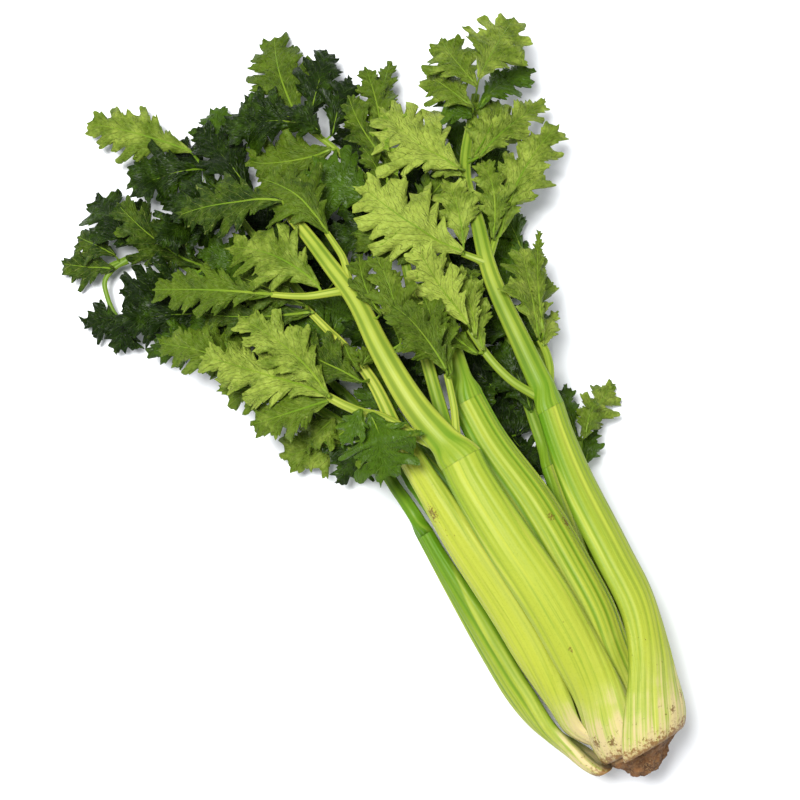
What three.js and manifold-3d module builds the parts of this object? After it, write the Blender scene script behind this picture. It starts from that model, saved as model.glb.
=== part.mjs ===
// A head of celery lying on its side: a crown and twelve ribbed leaf stalks with their leafy tops.
// Millimetres, +Z up. The head lies along +Y, with its butt at -Y and its leaf tips at +Y.
import * as THREE from "three";
import { mergeVertices } from "three/addons/utils/BufferGeometryUtils.js";
import Module from "manifold-3d";

const wasm = await Module();
wasm.setup();

// ---------------------------------------------------------------- driving dimensions
const NODE_GAP = 0.8; // clear height between one leaf and what it lies on
const BLADE_THICKNESS = 0.8;
const RIB_HEIGHT = 0.9; // how far a rib stands out of a stalk's back
const GRID = 0.01; // vertices of joined bodies stand on this grid, so that close ones are one

const BUTT = { x: 17, y: -205, z: 34 }; // middle of the ring of stalk bases
const OUTER_RING = 21; // distance of an outer stalk base from the middle of the butt
const SIDE_RING = 24; // of the wide stalk on top, which bulges a little
const BULGE_RING = 25; // of the stalk on the left, which bulges more
const INNER_RING = 15.4;
const HEART_RING = 8.8;

const BASE_CURVE = 0.4; // share of a stalk's length in which it opens from the ring to its own shape
const TOP_TAPER = 0.62; // share of its length after which it narrows to its first joint
const BACK_BEND = 0.64; // radius to which an open stalk is bent across, against its width
const EDGE_THINNING = 0.6; // share of a stalk's thickness that is lost at its edges
const FOOT_SETBACK = 0.9; // the nearer the heart, the higher a stalk's foot stands on the crown

// Each stalk: its base on the butt (ring radius, angle from up towards +X, width, thickness), the
// route of the middle of its section, the way its back faces further up, its full width and
// thickness, its width at the joint, the number of its ribs, its leaf stems and its leaflets.
// A stem is a route with its width at either end; a leaflet is its foot, its tip and its width,
// which `fullness` multiplies at the side lobes.
const STALKS = [
  {
    name: "f",
    base: { ring: OUTER_RING, angle: 109, width: 19, thickness: 4.6 },
    route: [[47, -172, 20], [49, -120, 18], [53, -98, 17], [57, -84, 17]],
    facing: 113, width: 21, thickness: 6.5, joint: 12, ribs: 3,
    fullness: 1.1,
    stems: [
      { route: [[57.2, -83.6, 17], [65, -54, 14], [74, -19, 9], [87, 23, 7], [99, 57, 6]], from: 9, to: 4 },
      { route: [[61, -73, 16], [70, -61, 14]], from: 5, to: 3.5 },
    ],
    leaflets: [
      [69, -59, 78, -33, 10], [71, -60, 101, -44, 18], [71, -62, 87, -48, 12], [78, -13, 82, 16, 22],
      [94, 38, 94, 68, 17], [99, 57, 108, 93, 15],
    ],
  },
  {
    name: "g",
    base: { ring: OUTER_RING, angle: 168, width: 19, thickness: 4.6 },
    route: [[20, -170, 7], [16, -138, 2.6], [15, -104, 2.6], [21, -82, 4.5], [28, -60, 8]],
    facing: 180, width: 24, thickness: 7.5, joint: 13, ribs: 3,
    fullness: 1.35,
    stems: [
      { route: [[28.2, -59.6, 8], [39, -25, 8], [52, 25, 7], [64, 77, 6]], from: 10, to: 4 },
    ],
    leaflets: [
      [42, -52, 39, -21, 23], [43, -43, 69, -31, 19], [46, -19, 35, 8, 20], [51, 9, 76, 13, 20],
      [64, 77, 72, 111, 20], [32, -50, 51, -63, 16],
    ],
  },
  {
    name: "h",
    base: { ring: INNER_RING, angle: -152, width: 17, thickness: 4 },
    route: [[3, -172, 20], [-4, -120, 20], [-9.5, -70, 17.5], [-12, -42, 14]],
    facing: -140, width: 19, thickness: 6.5, joint: 12, ribs: 3,
    fullness: 1.4,
    stems: [
      {
        route: [
          [-12.1, -41.6, 14], [-22, 18, 10], [-38, 57, 8], [-51, 91, 7], [-60, 119, 8],
          [-76, 134, 10], [-93, 137, 12],
        ],
        from: 9, to: 3,
      },
      { route: [[-84, 135.6, 11], [-98, 133, 11], [-103, 118, 9], [-102, 108, 7]], from: 3.2, to: 2.4 },
    ],
    leaflets: [
      [-103, 111, -120, 121, 15], [-100, 106, -113, 97, 15], [-92, 134, -114, 152, 15],
      [-88, 139, -100, 159, 15], [-71, 134, -82, 173, 25], [-51, 112, -74, 160, 22],
      [-53, 97, -95, 122, 26], [-49, 84, -104, 107, 24], [-40, 63, -98, 86, 20], [-23, 18, -42, 8, 21],
    ],
  },
  {
    name: "k",
    base: { ring: HEART_RING, angle: -120, width: 11, thickness: 3 },
    route: [[9, -165, 29], [7, -120, 29], [2, -60, 29], [-3, -30, 29]],
    facing: -118, width: 15, thickness: 5, joint: 9, ribs: 3,
    fullness: 1.5,
    stems: [
      {
        route: [[-3.1, -29.6, 29], [-10, 32, 26], [-17, 81, 22], [-23, 123, 19], [-26, 159, 16]],
        from: 7, to: 3,
      },
    ],
    leaflets: [
      [-28, 168, -67, 210, 21], [-28, 157, -65, 168, 23], [-25, 140, -66, 130, 23],
      [-24, 123, -49, 147, 27], [-19, 153, -1, 183, 17], [-12, 130, -18, 178, 19],
      [-18, 84, -4, 107, 27], [-19, 92, -50, 119, 22], [-14, 45, 4, 63, 28], [-6, -15, -3, 33, 17],
      [-11, 38, -31, 61, 21],
    ],
  },
  {
    name: "l",
    base: { ring: HEART_RING, angle: 105, width: 11, thickness: 3 },
    route: [[30, -165, 34], [37, -120, 33], [44, -87, 30], [48, -66, 29]],
    facing: 62, width: 20, thickness: 5, joint: 10, ribs: 3,
    fullness: 1.3,
    stems: [
      { route: [[48.2, -65.6, 29], [58, -21, 24], [70, 20, 19], [82, 52, 16]], from: 7, to: 3 },
    ],
    leaflets: [
      [54, -37, 55, 1, 23], [64, 2, 53, 20, 17], [69, 19, 97, 37, 17], [81, 51, 106, 81, 16],
    ],
  },
  {
    name: "j",
    base: { ring: 0, angle: 20, width: 7, thickness: 4 },
    route: [[19, -165, 34], [20, -120, 32], [21, -70, 33], [21, -45, 33]],
    facing: 20, width: 9, thickness: 6, joint: 7, ribs: 3,
    fullness: 1.2,
    stems: [
      { route: [[21.1, -44.6, 33], [25, -11, 33], [29, 11, 33]], from: 6, to: 3 },
    ],
    leaflets: [
      [28, -21, 45, -18, 11], [27, 1, 13, 11, 12],
    ],
  },
  {
    name: "i",
    base: { ring: HEART_RING, angle: -5, width: 11, thickness: 3 },
    route: [[12, -165, 42], [10, -120, 46], [8, -70, 47], [9, -35, 48]],
    facing: -8, width: 15, thickness: 5, joint: 10, ribs: 3,
    fullness: 1.3,
    stems: [
      {
        route: [
          [9, -34.6, 48], [23, 18, 43], [38, 64, 38], [42, 97, 34], [37, 126, 28], [28, 150, 24],
        ],
        from: 8, to: 3,
      },
    ],
    leaflets: [
      [28, 152, 41, 203, 29], [31, 149, 60, 181, 20], [26, 153, 10, 178, 17], [34, 129, -5, 147, 28],
      [38, 136, 63, 160, 15], [25, 149, -8, 168, 22], [38, 95, 16, 124, 31], [40, 80, 4, 90, 23],
      [33, 138, 22, 158, 14], [28, 18, -8, 43, 25],
    ],
  },
  {
    name: "a",
    base: { ring: BULGE_RING, angle: -110, width: 20, thickness: 7 },
    route: [
      [-12.5, -193, 20], [-19.5, -176, 18], [-23, -156, 17], [-23.5, -131, 16], [-23, -96, 16],
      [-22, -64, 17],
    ],
    facing: -72, width: 20, thickness: 7.5, joint: 10, ribs: 4,
    fullness: 1.3,
    stems: [
      {
        route: [[-22, -63.6, 17], [-23, -39, 16], [-26, -7, 12], [-41, 25, 10], [-60, 55, 9]],
        from: 8, to: 4,
      },
    ],
    leaflets: [
      [-28, 1, -66, 7, 23], [-28, -8, -48, -19, 20], [-54, 47, -75, 82, 22], [-60, 55, -90, 85, 19],
      [-47, 35, -75, 50, 18], [-33, 9, -53, 2, 18],
    ],
  },
  {
    name: "d",
    base: { ring: INNER_RING, angle: 8, width: 17, thickness: 4 },
    route: [
      [24, -179, 47], [26, -159, 51], [29, -139, 53], [30, -112, 53], [30, -78, 52], [27, -42, 49],
      [28, -19, 46],
    ],
    facing: 20, width: 21, thickness: 7, joint: 16, ribs: 5,
    fullness: 1.2,
    stems: [
      { route: [[28, -18.6, 46], [37, 18, 41], [46, 55, 36], [52, 88, 32], [58, 116, 29]], from: 12, to: 4 },
    ],
    leaflets: [
      [58, 116, 87, 160, 13], [57, 116, 72, 161, 16], [55, 106, 56, 150, 15], [51, 86, 47, 120, 11],
      [52, 79, 83, 91, 18], [39, 28, 67, 38, 16], [45, 50, 21, 84, 21],
    ],
  },
  {
    name: "b",
    base: { ring: INNER_RING, angle: -95, width: 11, thickness: 3.6 },
    route: [
      [-9, -184, 31], [-9.5, -169, 39], [-9, -150, 44], [-9, -120, 46], [-11, -76, 47],
      [-11, -53, 46], [-11, -24, 44],
    ],
    facing: -42, width: 20, thickness: 7, joint: 12, ribs: 4,
    fullness: 1.2,
    stems: [
      { route: [[-11.1, -23.6, 44], [-8, 16, 41], [-13, 42, 38], [-18, 63, 36]], from: 9, to: 3.5 },
    ],
    leaflets: [
      [-11, 36, -11, 21, 10], [-13, 15, -35, 55, 23], [-9, 22, 2, 30, 9], [-17, 59, -64, 87, 20],
      [-18, 63, -40, 96, 20],
    ],
  },
  {
    name: "e",
    base: { ring: SIDE_RING, angle: 16, width: 33, thickness: 6 },
    route: [
      [34, -185, 59], [41, -170, 60], [49, -146, 59], [51.5, -119, 57], [54.5, -81, 53], [58.5, -56, 50],
      [61.5, -43, 49],
    ],
    facing: 40, width: 20.5, thickness: 7.5, joint: 15, ribs: 5,
    fullness: 1.1,
    stems: [
      {
        route: [
          [61.5, -42.6, 49], [65, -8, 46], [70, 31, 42], [78, 57, 38], [85, 81, 34], [94, 95, 31],
          [105, 108, 28], [113, 118, 26],
        ],
        from: 14, to: 4.5,
      },
      { route: [[60, -38, 49], [51, -22, 50], [47, -6, 50], [46, 11, 49]], from: 5, to: 4 },
      { route: [[64, -36, 48], [73, -21, 42], [75, -10, 38]], from: 5, to: 4 },
      { route: [[71, 37, 42], [63, 47, 42]], from: 4.5, to: 3.5 },
      { route: [[71, 36, 42], [82, 46, 38]], from: 4.5, to: 3.5 },
    ],
    leaflets: [
      [84, 46, 142, 83, 26], [80, 46, 97, 85, 19], [66, 51, 76, 84, 22], [63, 47, 36, 101, 41],
      [93, 88, 122, 110, 26], [95, 86, 144, 99, 19], [83, 82, 68, 98, 11], [83, 85, 64, 131, 42],
      [109, 109, 147, 116, 17], [103, 106, 93, 123, 18], [105, 109, 96, 139, 22],
      [111, 116, 111, 151, 27], [113, 117, 150, 142, 32], [46, -2, 61, 35, 16], [43, -2, 21, 44, 21],
      [46, 6, 54, 47, 13], [45, 12, 42, 60, 24], [75, -13, 91, -1, 10], [74, -9, 92, 37, 25],
      [76, -9, 104, 39, 8],
    ],
  },
  {
    name: "c",
    base: { ring: OUTER_RING, angle: -52, width: 21, thickness: 4.6 },
    route: [
      [3.5, -190, 49], [8.5, -171, 55], [10, -150, 62], [10, -122, 68], [8, -89, 70], [7.5, -55, 67],
      [8.5, -44, 65],
    ],
    facing: -5, width: 22, thickness: 7.5, joint: 18.5, ribs: 5,
    fullness: 1.15,
    stems: [
      {
        route: [
          [8.5, -43.6, 65], [2.5, -12, 64], [2, 21, 62], [4, 50, 58], [2, 72, 54], [0, 92, 50], [-3, 112, 46],
        ],
        from: 18, to: 6,
      },
      { route: [[5, -37, 64], [-6, -20, 61], [-13, -7, 57], [-23, 4, 52], [-31, 17, 48]], from: 6, to: 4.5 },
      { route: [[11, -36, 64], [19, -19, 61], [24, -4, 59]], from: 4.5, to: 3.5 },
      { route: [[3, 57, 57], [-16, 65, 53], [-30, 75, 49]], from: 5, to: 3 },
      { route: [[4, 57, 57], [9, 70, 55], [9, 88, 51]], from: 5, to: 3 },
    ],
    leaflets: [
      [-18, -2, -28, -33, 35], [-21, 1, -38, -9, 14], [-31, 15, -71, 26, 22], [-31, 17, -76, 65, 29],
      [-31, 17, -50, 74, 27], [10, 36, 17, 70, 13], [12, 20, 23, 64, 19], [25, -6, 34, 35, 19],
      [24, -3, 16, 36, 24], [-30, 75, -80, 111, 24], [-8, 66, -35, 109, 31], [9, 88, -5, 131, 33],
      [-3, 112, -50, 136, 27],
    ],
  },
];

// ---------------------------------------------------------------- small helpers
const UP = new THREE.Vector3(0, 0, 1);
const mix = THREE.MathUtils.lerp;
const ease = THREE.MathUtils.smoothstep;
const radians = THREE.MathUtils.degToRad;

/** A repeatable number from 0 to 1 for each whole number. */
function draw(seed) {
  const value = Math.sin(seed * 12.9898 + 4.1414) * 43758.5453;
  return value - Math.floor(value);
}

function curveThrough(route) {
  return new THREE.CatmullRomCurve3(route.map((point) => new THREE.Vector3(...point)), false, "centripetal");
}

// ---------------------------------------------------------------- solids
/** Makes a manifold solid of a closed geometry. */
function solidOf(geometry) {
  geometry.deleteAttribute("normal");
  geometry.deleteAttribute("uv");
  const merged = mergeVertices(geometry, 1e-3);
  return new wasm.Manifold(new wasm.Mesh({
    numProp: 3,
    vertProperties: Float32Array.from(merged.attributes.position.array),
    triVerts: Uint32Array.from(merged.index.array),
  }));
}

/** The outer body of a solid, without loose scraps or the shells of sealed hollows. */
function largestBody(solid) {
  return solid.decompose().sort((one, other) => other.volume() - one.volume())[0];
}

/** Joins solids into the geometry of one body; scraps are dropped before and after the grid. */
function joinedGeometry(solids) {
  const whole = largestBody(solids.reduce((sum, next) => sum.add(next)));
  return geometryOf(largestBody(solidOf(geometryOf(whole))));
}

/** The geometry of a solid, with its vertices on the fine grid. */
function geometryOf(solid) {
  const mesh = solid.getMesh();
  const position = Float32Array.from(mesh.vertProperties, (value) => Math.round(value / GRID) * GRID);
  const geometry = new THREE.BufferGeometry();
  geometry.setAttribute("position", new THREE.BufferAttribute(position, 3));
  geometry.setIndex(new THREE.BufferAttribute(Uint32Array.from(mesh.triVerts), 1));
  return geometry;
}

/** Closes a bent sheet: its front and back skins, split alike, and walls round its edge. */
function closeSheet(sheet, front, back) {
  const count = front.length;
  const faces = [];
  const edges = new Set();
  const index = sheet.index.array;
  for (let i = 0; i < index.length; i += 3) {
    const corners = [index[i], index[i + 1], index[i + 2]];
    faces.push(...corners);
    faces.push(corners[2] + count, corners[1] + count, corners[0] + count);
    corners.forEach((corner, k) => edges.add(`${corner},${corners[(k + 1) % 3]}`));
  }
  for (const edge of edges) {
    const [from, to] = edge.split(",").map(Number);
    if (!edges.has(`${to},${from}`)) {
      faces.push(to, from, from + count, to, from + count, to + count);
    }
  }
  const geometry = new THREE.BufferGeometry();
  geometry.setFromPoints([...front, ...back]);
  geometry.setIndex(faces);
  return geometry;
}

/** A stem of oval section along a curve, with level sides; nothing of it lies behind y = `behind`. */
function stemGeometry(curve, widthAt, flat, sides, steps, behind = -Infinity) {
  const geometry = new THREE.CylinderGeometry(1, 1, 1, sides, steps);
  const position = geometry.attributes.position;
  for (let i = 0; i < position.count; i += 1) {
    const along = position.getY(i) + 0.5;
    const middle = curve.getPointAt(THREE.MathUtils.clamp(along, 0, 1));
    const ahead = curve.getTangentAt(THREE.MathUtils.clamp(along, 0, 1));
    const side = new THREE.Vector3().crossVectors(ahead, UP).normalize();
    const above = new THREE.Vector3().crossVectors(side, ahead);
    const half = widthAt(along) / 2;
    middle.addScaledVector(side, position.getX(i) * half);
    middle.addScaledVector(above, position.getZ(i) * half * flat);
    position.setXYZ(i, middle.x, Math.max(middle.y, behind), middle.z);
  }
  return geometry;
}

// ---------------------------------------------------------------- the pile of leaves
const COLUMN = 4096; // cells from one column of the pile to the next, more than it is long

/** The heights of what lies on the surface already, so that the next leaf is laid on top of it. */
class Pile {
  constructor() {
    this.cell = 1.2; // width of a cell
    this.spacing = 0.9; // between the points that are looked at
    this.laid = new Map(); // finished leaves and stalks
    this.own = new Map(); // the leaf in hand
  }

  key(x, y) {
    return Math.round(x / this.cell) * COLUMN + Math.round(y / this.cell);
  }

  /** The top of the finished things round a point, and of the leaf in hand if asked. */
  top(x, y, withOwn) {
    const middle = this.key(x, y);
    let highest = 0;
    for (let dx = -COLUMN; dx <= COLUMN; dx += COLUMN) {
      for (let dy = -1; dy <= 1; dy += 1) {
        highest = Math.max(highest, this.laid.get(middle + dx + dy) ?? 0);
        if (withOwn) {
          highest = Math.max(highest, this.own.get(middle + dx + dy) ?? 0);
        }
      }
    }
    return highest;
  }

  /** Calls visit(x, y, z, weights) at points spread evenly over a triangle. */
  sample(a, b, c, visit) {
    const longest = Math.max(a.distanceTo(b), b.distanceTo(c), c.distanceTo(a));
    const steps = Math.max(1, Math.ceil(longest / this.spacing));
    for (let i = 0; i <= steps; i += 1) {
      for (let j = 0; j <= steps - i; j += 1) {
        const weights = [i / steps, j / steps, (steps - i - j) / steps];
        visit(
          a.x * weights[0] + b.x * weights[1] + c.x * weights[2],
          a.y * weights[0] + b.y * weights[1] + c.y * weights[2],
          a.z * weights[0] + b.z * weights[1] + c.z * weights[2],
          weights,
        );
      }
    }
  }

  stampTriangle(a, b, c) {
    this.sample(a, b, c, (x, y, z) => {
      const key = this.key(x, y);
      if (z > (this.own.get(key) ?? 0)) {
        this.own.set(key, z);
      }
    });
  }

  stampGeometry(geometry) {
    const position = geometry.attributes.position;
    const index = geometry.index.array;
    const corner = (i) => new THREE.Vector3().fromBufferAttribute(position, index[i]);
    for (let i = 0; i < index.length; i += 3) {
      this.stampTriangle(corner(i), corner(i + 1), corner(i + 2));
    }
  }

  /** The leaf in hand is finished. */
  settle() {
    for (const [key, z] of this.own) {
      this.laid.set(key, Math.max(z, this.laid.get(key) ?? 0));
    }
    this.own.clear();
  }
}

const pile = new Pile();

// ---------------------------------------------------------------- stalks
const FEW_RIBS = 3; // a stalk with no more ribs than this is a small one
const STALK_ROWS = 8; // faces along a stalk
const SMALL_STALK_ROWS = 6;

/** The closed slab of one ribbed stalk, a channel bent round the heart of the head. */
function stalkGeometry(stalk) {
  const { base } = stalk;
  const baseAngle = radians(base.angle);
  const foot = [
    BUTT.x + Math.sin(baseAngle) * base.ring,
    BUTT.y + (OUTER_RING - base.ring) * FOOT_SETBACK,
    BUTT.z + Math.cos(baseAngle) * base.ring,
  ];
  const curve = curveThrough([foot, ...stalk.route]);
  const columns = stalk.ribs * 2;
  const rows = stalk.ribs > FEW_RIBS ? STALK_ROWS : SMALL_STALK_ROWS;
  const sheet = new THREE.PlaneGeometry(1, 1, columns, rows);
  const uv = sheet.attributes.uv;
  const front = [];
  const back = [];
  for (let i = 0; i < uv.count; i += 1) {
    const across = uv.getX(i) * 2 - 1;
    const along = uv.getY(i);
    const open = ease(along, 0, BASE_CURVE);
    const narrow = ease(along, TOP_TAPER, 1);
    const middle = curve.getPointAt(along);
    const angle = radians(mix(base.angle, stalk.facing, open));
    const width = mix(mix(base.width, stalk.width, open), stalk.joint, narrow);
    const radius = mix(Math.max(base.ring, base.width * BACK_BEND), width * BACK_BEND, open);
    const bend = across * Math.asin(width / (2 * radius));
    const depth = mix(base.thickness, stalk.thickness, open);
    const half = 0.5 * depth * (1 - EDGE_THINNING * across * across * across * across);
    const rib = RIB_HEIGHT * 0.5 * (1 - Math.cos(Math.PI * columns * uv.getX(i)));
    const place = (reach) => {
      const out = reach * Math.cos(bend) - radius;
      const side = reach * Math.sin(bend);
      return new THREE.Vector3(
        middle.x + Math.sin(angle) * out + Math.cos(angle) * side,
        middle.y,
        Math.max(0, middle.z + Math.cos(angle) * out - Math.sin(angle) * side),
      );
    };
    front.push(place(radius + half + rib));
    back.push(place(radius - half));
  }
  return closeSheet(sheet, front, back);
}


// ---------------------------------------------------------------- leaflets
// Half of a leaflet's outline from foot to tip: how far along its edge and its midrib are, and how
// wide it is against its full half width. A side lobe, a notch and two teeth follow each other.
const OUTLINE = [
  { edge: 0, midrib: 0, wide: 0.06 },
  { edge: 0.27, midrib: 0.2, wide: 0.42 },
  { edge: 0.56, midrib: 0.4, wide: 1 },
  { edge: 0.6, midrib: 0.54, wide: 0.56 },
  { edge: 0.78, midrib: 0.68, wide: 0.74 },
  { edge: 0.81, midrib: 0.8, wide: 0.46 },
  { edge: 0.93, midrib: 0.9, wide: 0.36 },
  { edge: 1, midrib: 1, wide: 0.05 },
];
const SMALL_OUTLINE = [
  { edge: 0, midrib: 0, wide: 0.06 },
  { edge: 0.27, midrib: 0.2, wide: 0.42 },
  { edge: 0.56, midrib: 0.42, wide: 1 },
  { edge: 0.62, midrib: 0.6, wide: 0.56 },
  { edge: 0.8, midrib: 0.78, wide: 0.7 },
  { edge: 1, midrib: 1, wide: 0.05 },
];
const TINY_OUTLINE = [
  { edge: 0, midrib: 0, wide: 0.06 },
  { edge: 0.5, midrib: 0.4, wide: 1 },
  { edge: 0.66, midrib: 0.66, wide: 0.5 },
  { edge: 1, midrib: 1, wide: 0.05 },
];
const SMALL_LENGTH = 42; // a shorter leaflet has a simpler outline
const TINY_LENGTH = 23; // and one shorter than this the simplest
const STALKLET_REACH = 9; // a shorter little stalk has no bend
const STALKLET_THICKNESS = 1.9;
const LEAST_HALF_WIDTH = 0.8;
const STEEPEST = 0.65; // a leaflet is too stiff to rise faster than this
const ROOT_STATIONS = 40; // places along a stem where a leaflet may grow
const ROOT_PLAY = 0.6; // how far from its place it may grow

// How a leaflet is bent, from the least to the most; each draws its own place between the two.
const DROOP = { least: 0.19, most: 0.58 }; // of its tip, against its length
const FOLD = { least: 0.1, most: 0.3 }; // of its sides, against their width
const WAVE = { least: 0.6, most: 2 }; // of its edge
const WAVE_TURN = 1.9; // of the wave from one row to the next, radians
const RISE = 0.1; // of its middle, against its length
const SWEEP = 0.16; // sideways bow of its midrib, against its length
const UNEVEN = 0.16; // of its outline, against its width

function outlineFor(length) {
  if (length < TINY_LENGTH) {
    return TINY_OUTLINE;
  }
  return length < SMALL_LENGTH ? SMALL_OUTLINE : OUTLINE;
}

/** The place inside a leaf's stems where a leaflet is rooted: the nearest one, a little uneven. */
function rootPoint(curves, x, y, seed) {
  let best = null;
  let least = Infinity;
  for (const curve of curves) {
    for (let i = 0; i < ROOT_STATIONS; i += 1) {
      const point = curve.getPointAt(i / ROOT_STATIONS);
      const distance = Math.hypot(point.x - x, point.y - y);
      if (distance < least) {
        least = distance;
        best = point;
      }
    }
  }
  const shift = () => ROOT_PLAY * (draw(seed += 0.17) - 0.5);
  return best.add(new THREE.Vector3(shift(), shift(), shift()));
}

const ROOT_REACH = 4; // round its foot a leaflet may touch its own stem
const ROUNDS = 14; // of raising a leaflet
const WHOLE_ROUNDS = 4; // the last ones, in which all corners of a face that touches are raised

/** Raises a leaflet until its back clears all that it covers; its root stays in its stem. */
function layOnPile(leaflet) {
  const { triangles, front, back, rowOf, stalkletRows, foot } = leaflet;
  const lift = (i, rise) => {
    const free = rowOf(i) > 0;
    front[i].z += free ? rise : 0;
    back[i].z += free ? rise : 0;
  };
  for (let round = 0; round < ROUNDS; round += 1) {
    const raise = new Array(front.length).fill(0);
    for (const corners of triangles) {
      const onStalklet = corners.some((corner) => rowOf(corner) < stalkletRows);
      const [a, b, c] = corners.map((corner) => back[corner]);
      pile.sample(a, b, c, (x, y, z, weights) => {
        const withOwn = !onStalklet && Math.hypot(x - foot.x, y - foot.y) > ROOT_REACH;
        const need = pile.top(x, y, withOwn) + NODE_GAP - z;
        if (need > 1e-3) {
          const spread = weights[0] ** 2 + weights[1] ** 2 + weights[2] ** 2;
          const whole = round > ROUNDS - WHOLE_ROUNDS;
          const share = weights.map((weight) => (whole ? 1 : weight / spread));
          corners.forEach((corner, k) => {
            raise[corner] = Math.max(raise[corner], need * share[k]);
          });
        }
      });
    }
    raise.forEach((rise, i) => lift(i, rise));
    for (const corners of triangles) {
      corners.forEach((corner, k) => {
        const next = corners[(k + 1) % 3];
        const run = Math.hypot(front[corner].x - front[next].x, front[corner].y - front[next].y);
        const drop = front[corner].z - front[next].z;
        lift(next, Math.max(0, drop - STEEPEST * run));
        lift(corner, Math.max(0, -drop - STEEPEST * run));
      });
    }
  }
}

/** One leaflet with its little stalk, as a single waved sheet laid on the pile. */
function leafletSolid([footX, footY, tipX, tipY, width], fullness, curves, seed) {
  const root = rootPoint(curves, footX, footY, seed);
  const length = Math.hypot(tipX - footX, tipY - footY);
  const ahead = { x: (tipX - footX) / length, y: (tipY - footY) / length };
  const drawn = (range, number) => mix(range.least, range.most, draw(number));
  const droop = drawn(DROOP, seed);
  const fold = drawn(FOLD, seed + 0.3);
  const wave = drawn(WAVE, seed + 0.6);
  const sweep = (draw(seed + 0.9) - 0.5) * SWEEP * length;
  const outline = outlineFor(length);

  const stalkletRows = Math.hypot(root.x - footX, root.y - footY) < STALKLET_REACH ? 1 : 2;
  const rows = outline.length - 1 + stalkletRows;
  const sheet = new THREE.PlaneGeometry(1, 1, 2, rows);
  const rowOf = (i) => rows - Math.floor(i / 3);
  const front = [];
  const thickness = [];
  for (let i = 0; i < sheet.attributes.position.count; i += 1) {
    const row = rowOf(i);
    const side = (i % 3) - 1;
    const onStalklet = row < stalkletRows;
    const { edge, midrib, wide } = onStalklet ? outline[0] : outline[row - stalkletRows];
    const uneven = fullness + UNEVEN * (draw(seed + row * 7 + side) - 0.5);
    const out = side * Math.max(LEAST_HALF_WIDTH, wide * width * 0.5 * uneven);
    const along = side === 0 ? midrib : edge;
    const bow = sweep * 4 * along * (1 - along);
    const forward = along * length;
    const ripple = onStalklet ? 0 : side * wave * wide * Math.sin(row * WAVE_TURN + seed);
    const point = new THREE.Vector3(
      footX + ahead.x * forward + ahead.y * (out + bow),
      footY + ahead.y * forward - ahead.x * (out + bow),
      root.z + RISE * forward - droop * length * along * along - fold * Math.abs(out) + ripple,
    );
    if (onStalklet) {
      point.x += (root.x - footX) * (1 - row / stalkletRows);
      point.y += (root.y - footY) * (1 - row / stalkletRows);
    }
    front.push(point);
    thickness.push(row <= stalkletRows ? STALKLET_THICKNESS : BLADE_THICKNESS);
  }
  const shape = new THREE.BufferGeometry().setFromPoints(front);
  shape.setIndex(sheet.index);
  shape.computeVertexNormals();
  const back = front.map((point, i) => {
    const normal = new THREE.Vector3().fromBufferAttribute(shape.attributes.normal, i);
    point.addScaledVector(normal, thickness[i] / 2);
    return point.clone().addScaledVector(normal, -thickness[i]);
  });
  const triangles = [];
  for (let i = 0; i < sheet.index.count; i += 3) {
    triangles.push([0, 1, 2].map((k) => sheet.index.getX(i + k)));
  }
  layOnPile({ triangles, front, back, rowOf, stalkletRows, foot: { x: footX, y: footY } });
  triangles.forEach((corners) => pile.stampTriangle(...corners.map((corner) => front[corner])));
  return solidOf(closeSheet(sheet, front, back));
}

// ---------------------------------------------------------------- leafy tops
const STEM_FLATNESS = 0.72;
const STEM_STEP = 24; // length of one straight piece of a stem
const JOINT_GAP = 0.3; // between a stalk and its leafy top
const STEM_STATION = 9; // distance between the points that lift a stem over the pile
const STEM_FEELERS = 8; // points round a stem that feel for the pile
const STEM_TAPER = 0.8; // the smaller, the sooner a stem narrows
const THICK_STEM = 11; // a wider stem has eight sides, the others six

/** Lifts a stem's route over what it crosses, but leaves its two first points where they grow. */
function liftedCurve(stem) {
  const count = Math.max(4, Math.round(curveThrough(stem.route).getLength() / STEM_STATION));
  const points = curveThrough(stem.route).getSpacedPoints(count);
  points.forEach((point, i) => {
    const half = mix(stem.from, stem.to, i / count) / 2;
    let highest = 0;
    for (let feeler = 0; feeler < STEM_FEELERS; feeler += 1) {
      const turn = feeler * 2 * Math.PI / STEM_FEELERS;
      const x = point.x + Math.cos(turn) * half;
      const y = point.y + Math.sin(turn) * half;
      highest = Math.max(highest, pile.top(x, y, false));
    }
    if (i > 0) {
      point.z = Math.max(point.z, highest + half * STEM_FLATNESS + NODE_GAP * 2);
    }
  });
  return new THREE.CatmullRomCurve3(points, false, "centripetal");
}

/** The leafy top of a stalk: its stems and leaflets, laid on the pile one after another. */
function leafGeometry(stalk, stalkSlab, seed) {
  const joint = stalk.route[stalk.route.length - 1][1] + JOINT_GAP;
  const curves = stalk.stems.map(liftedCurve);
  pile.stampGeometry(stalkSlab);
  pile.settle();
  const solids = curves.map((curve, i) => {
    const { from, to } = stalk.stems[i];
    const steps = Math.max(2, Math.round(curve.getLength() / STEM_STEP));
    const sides = from > THICK_STEM ? 8 : 6;
    const widthAt = (along) => mix(from, to, along ** STEM_TAPER);
    const geometry = stemGeometry(curve, widthAt, STEM_FLATNESS, sides, steps, joint);
    pile.stampGeometry(geometry);
    return solidOf(geometry);
  });
  stalk.leaflets.forEach((leaflet, i) => {
    solids.push(leafletSolid(leaflet, stalk.fullness, curves, seed * 40 + i));
  });
  pile.settle();
  return joinedGeometry(solids);
}

// ---------------------------------------------------------------- crown
const CROWN_RADIUS = OUTER_RING - 2.9; // it ends short of the backs of the stalks round it
const CROWN_SIDES = 14;
const SCAR_START = -2; // height on the crown below which it leans over
const SCAR_LEAN = 0.3; // sideways, against the depth
const ROUGH_START = -3; // height below which it is rough
const ROUGH_WAVES = [ // dents round the scar, against its radius
  { count: 5, depth: 0.1, turn: 0 },
  { count: 9, depth: 0.06, turn: 1 },
];

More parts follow.
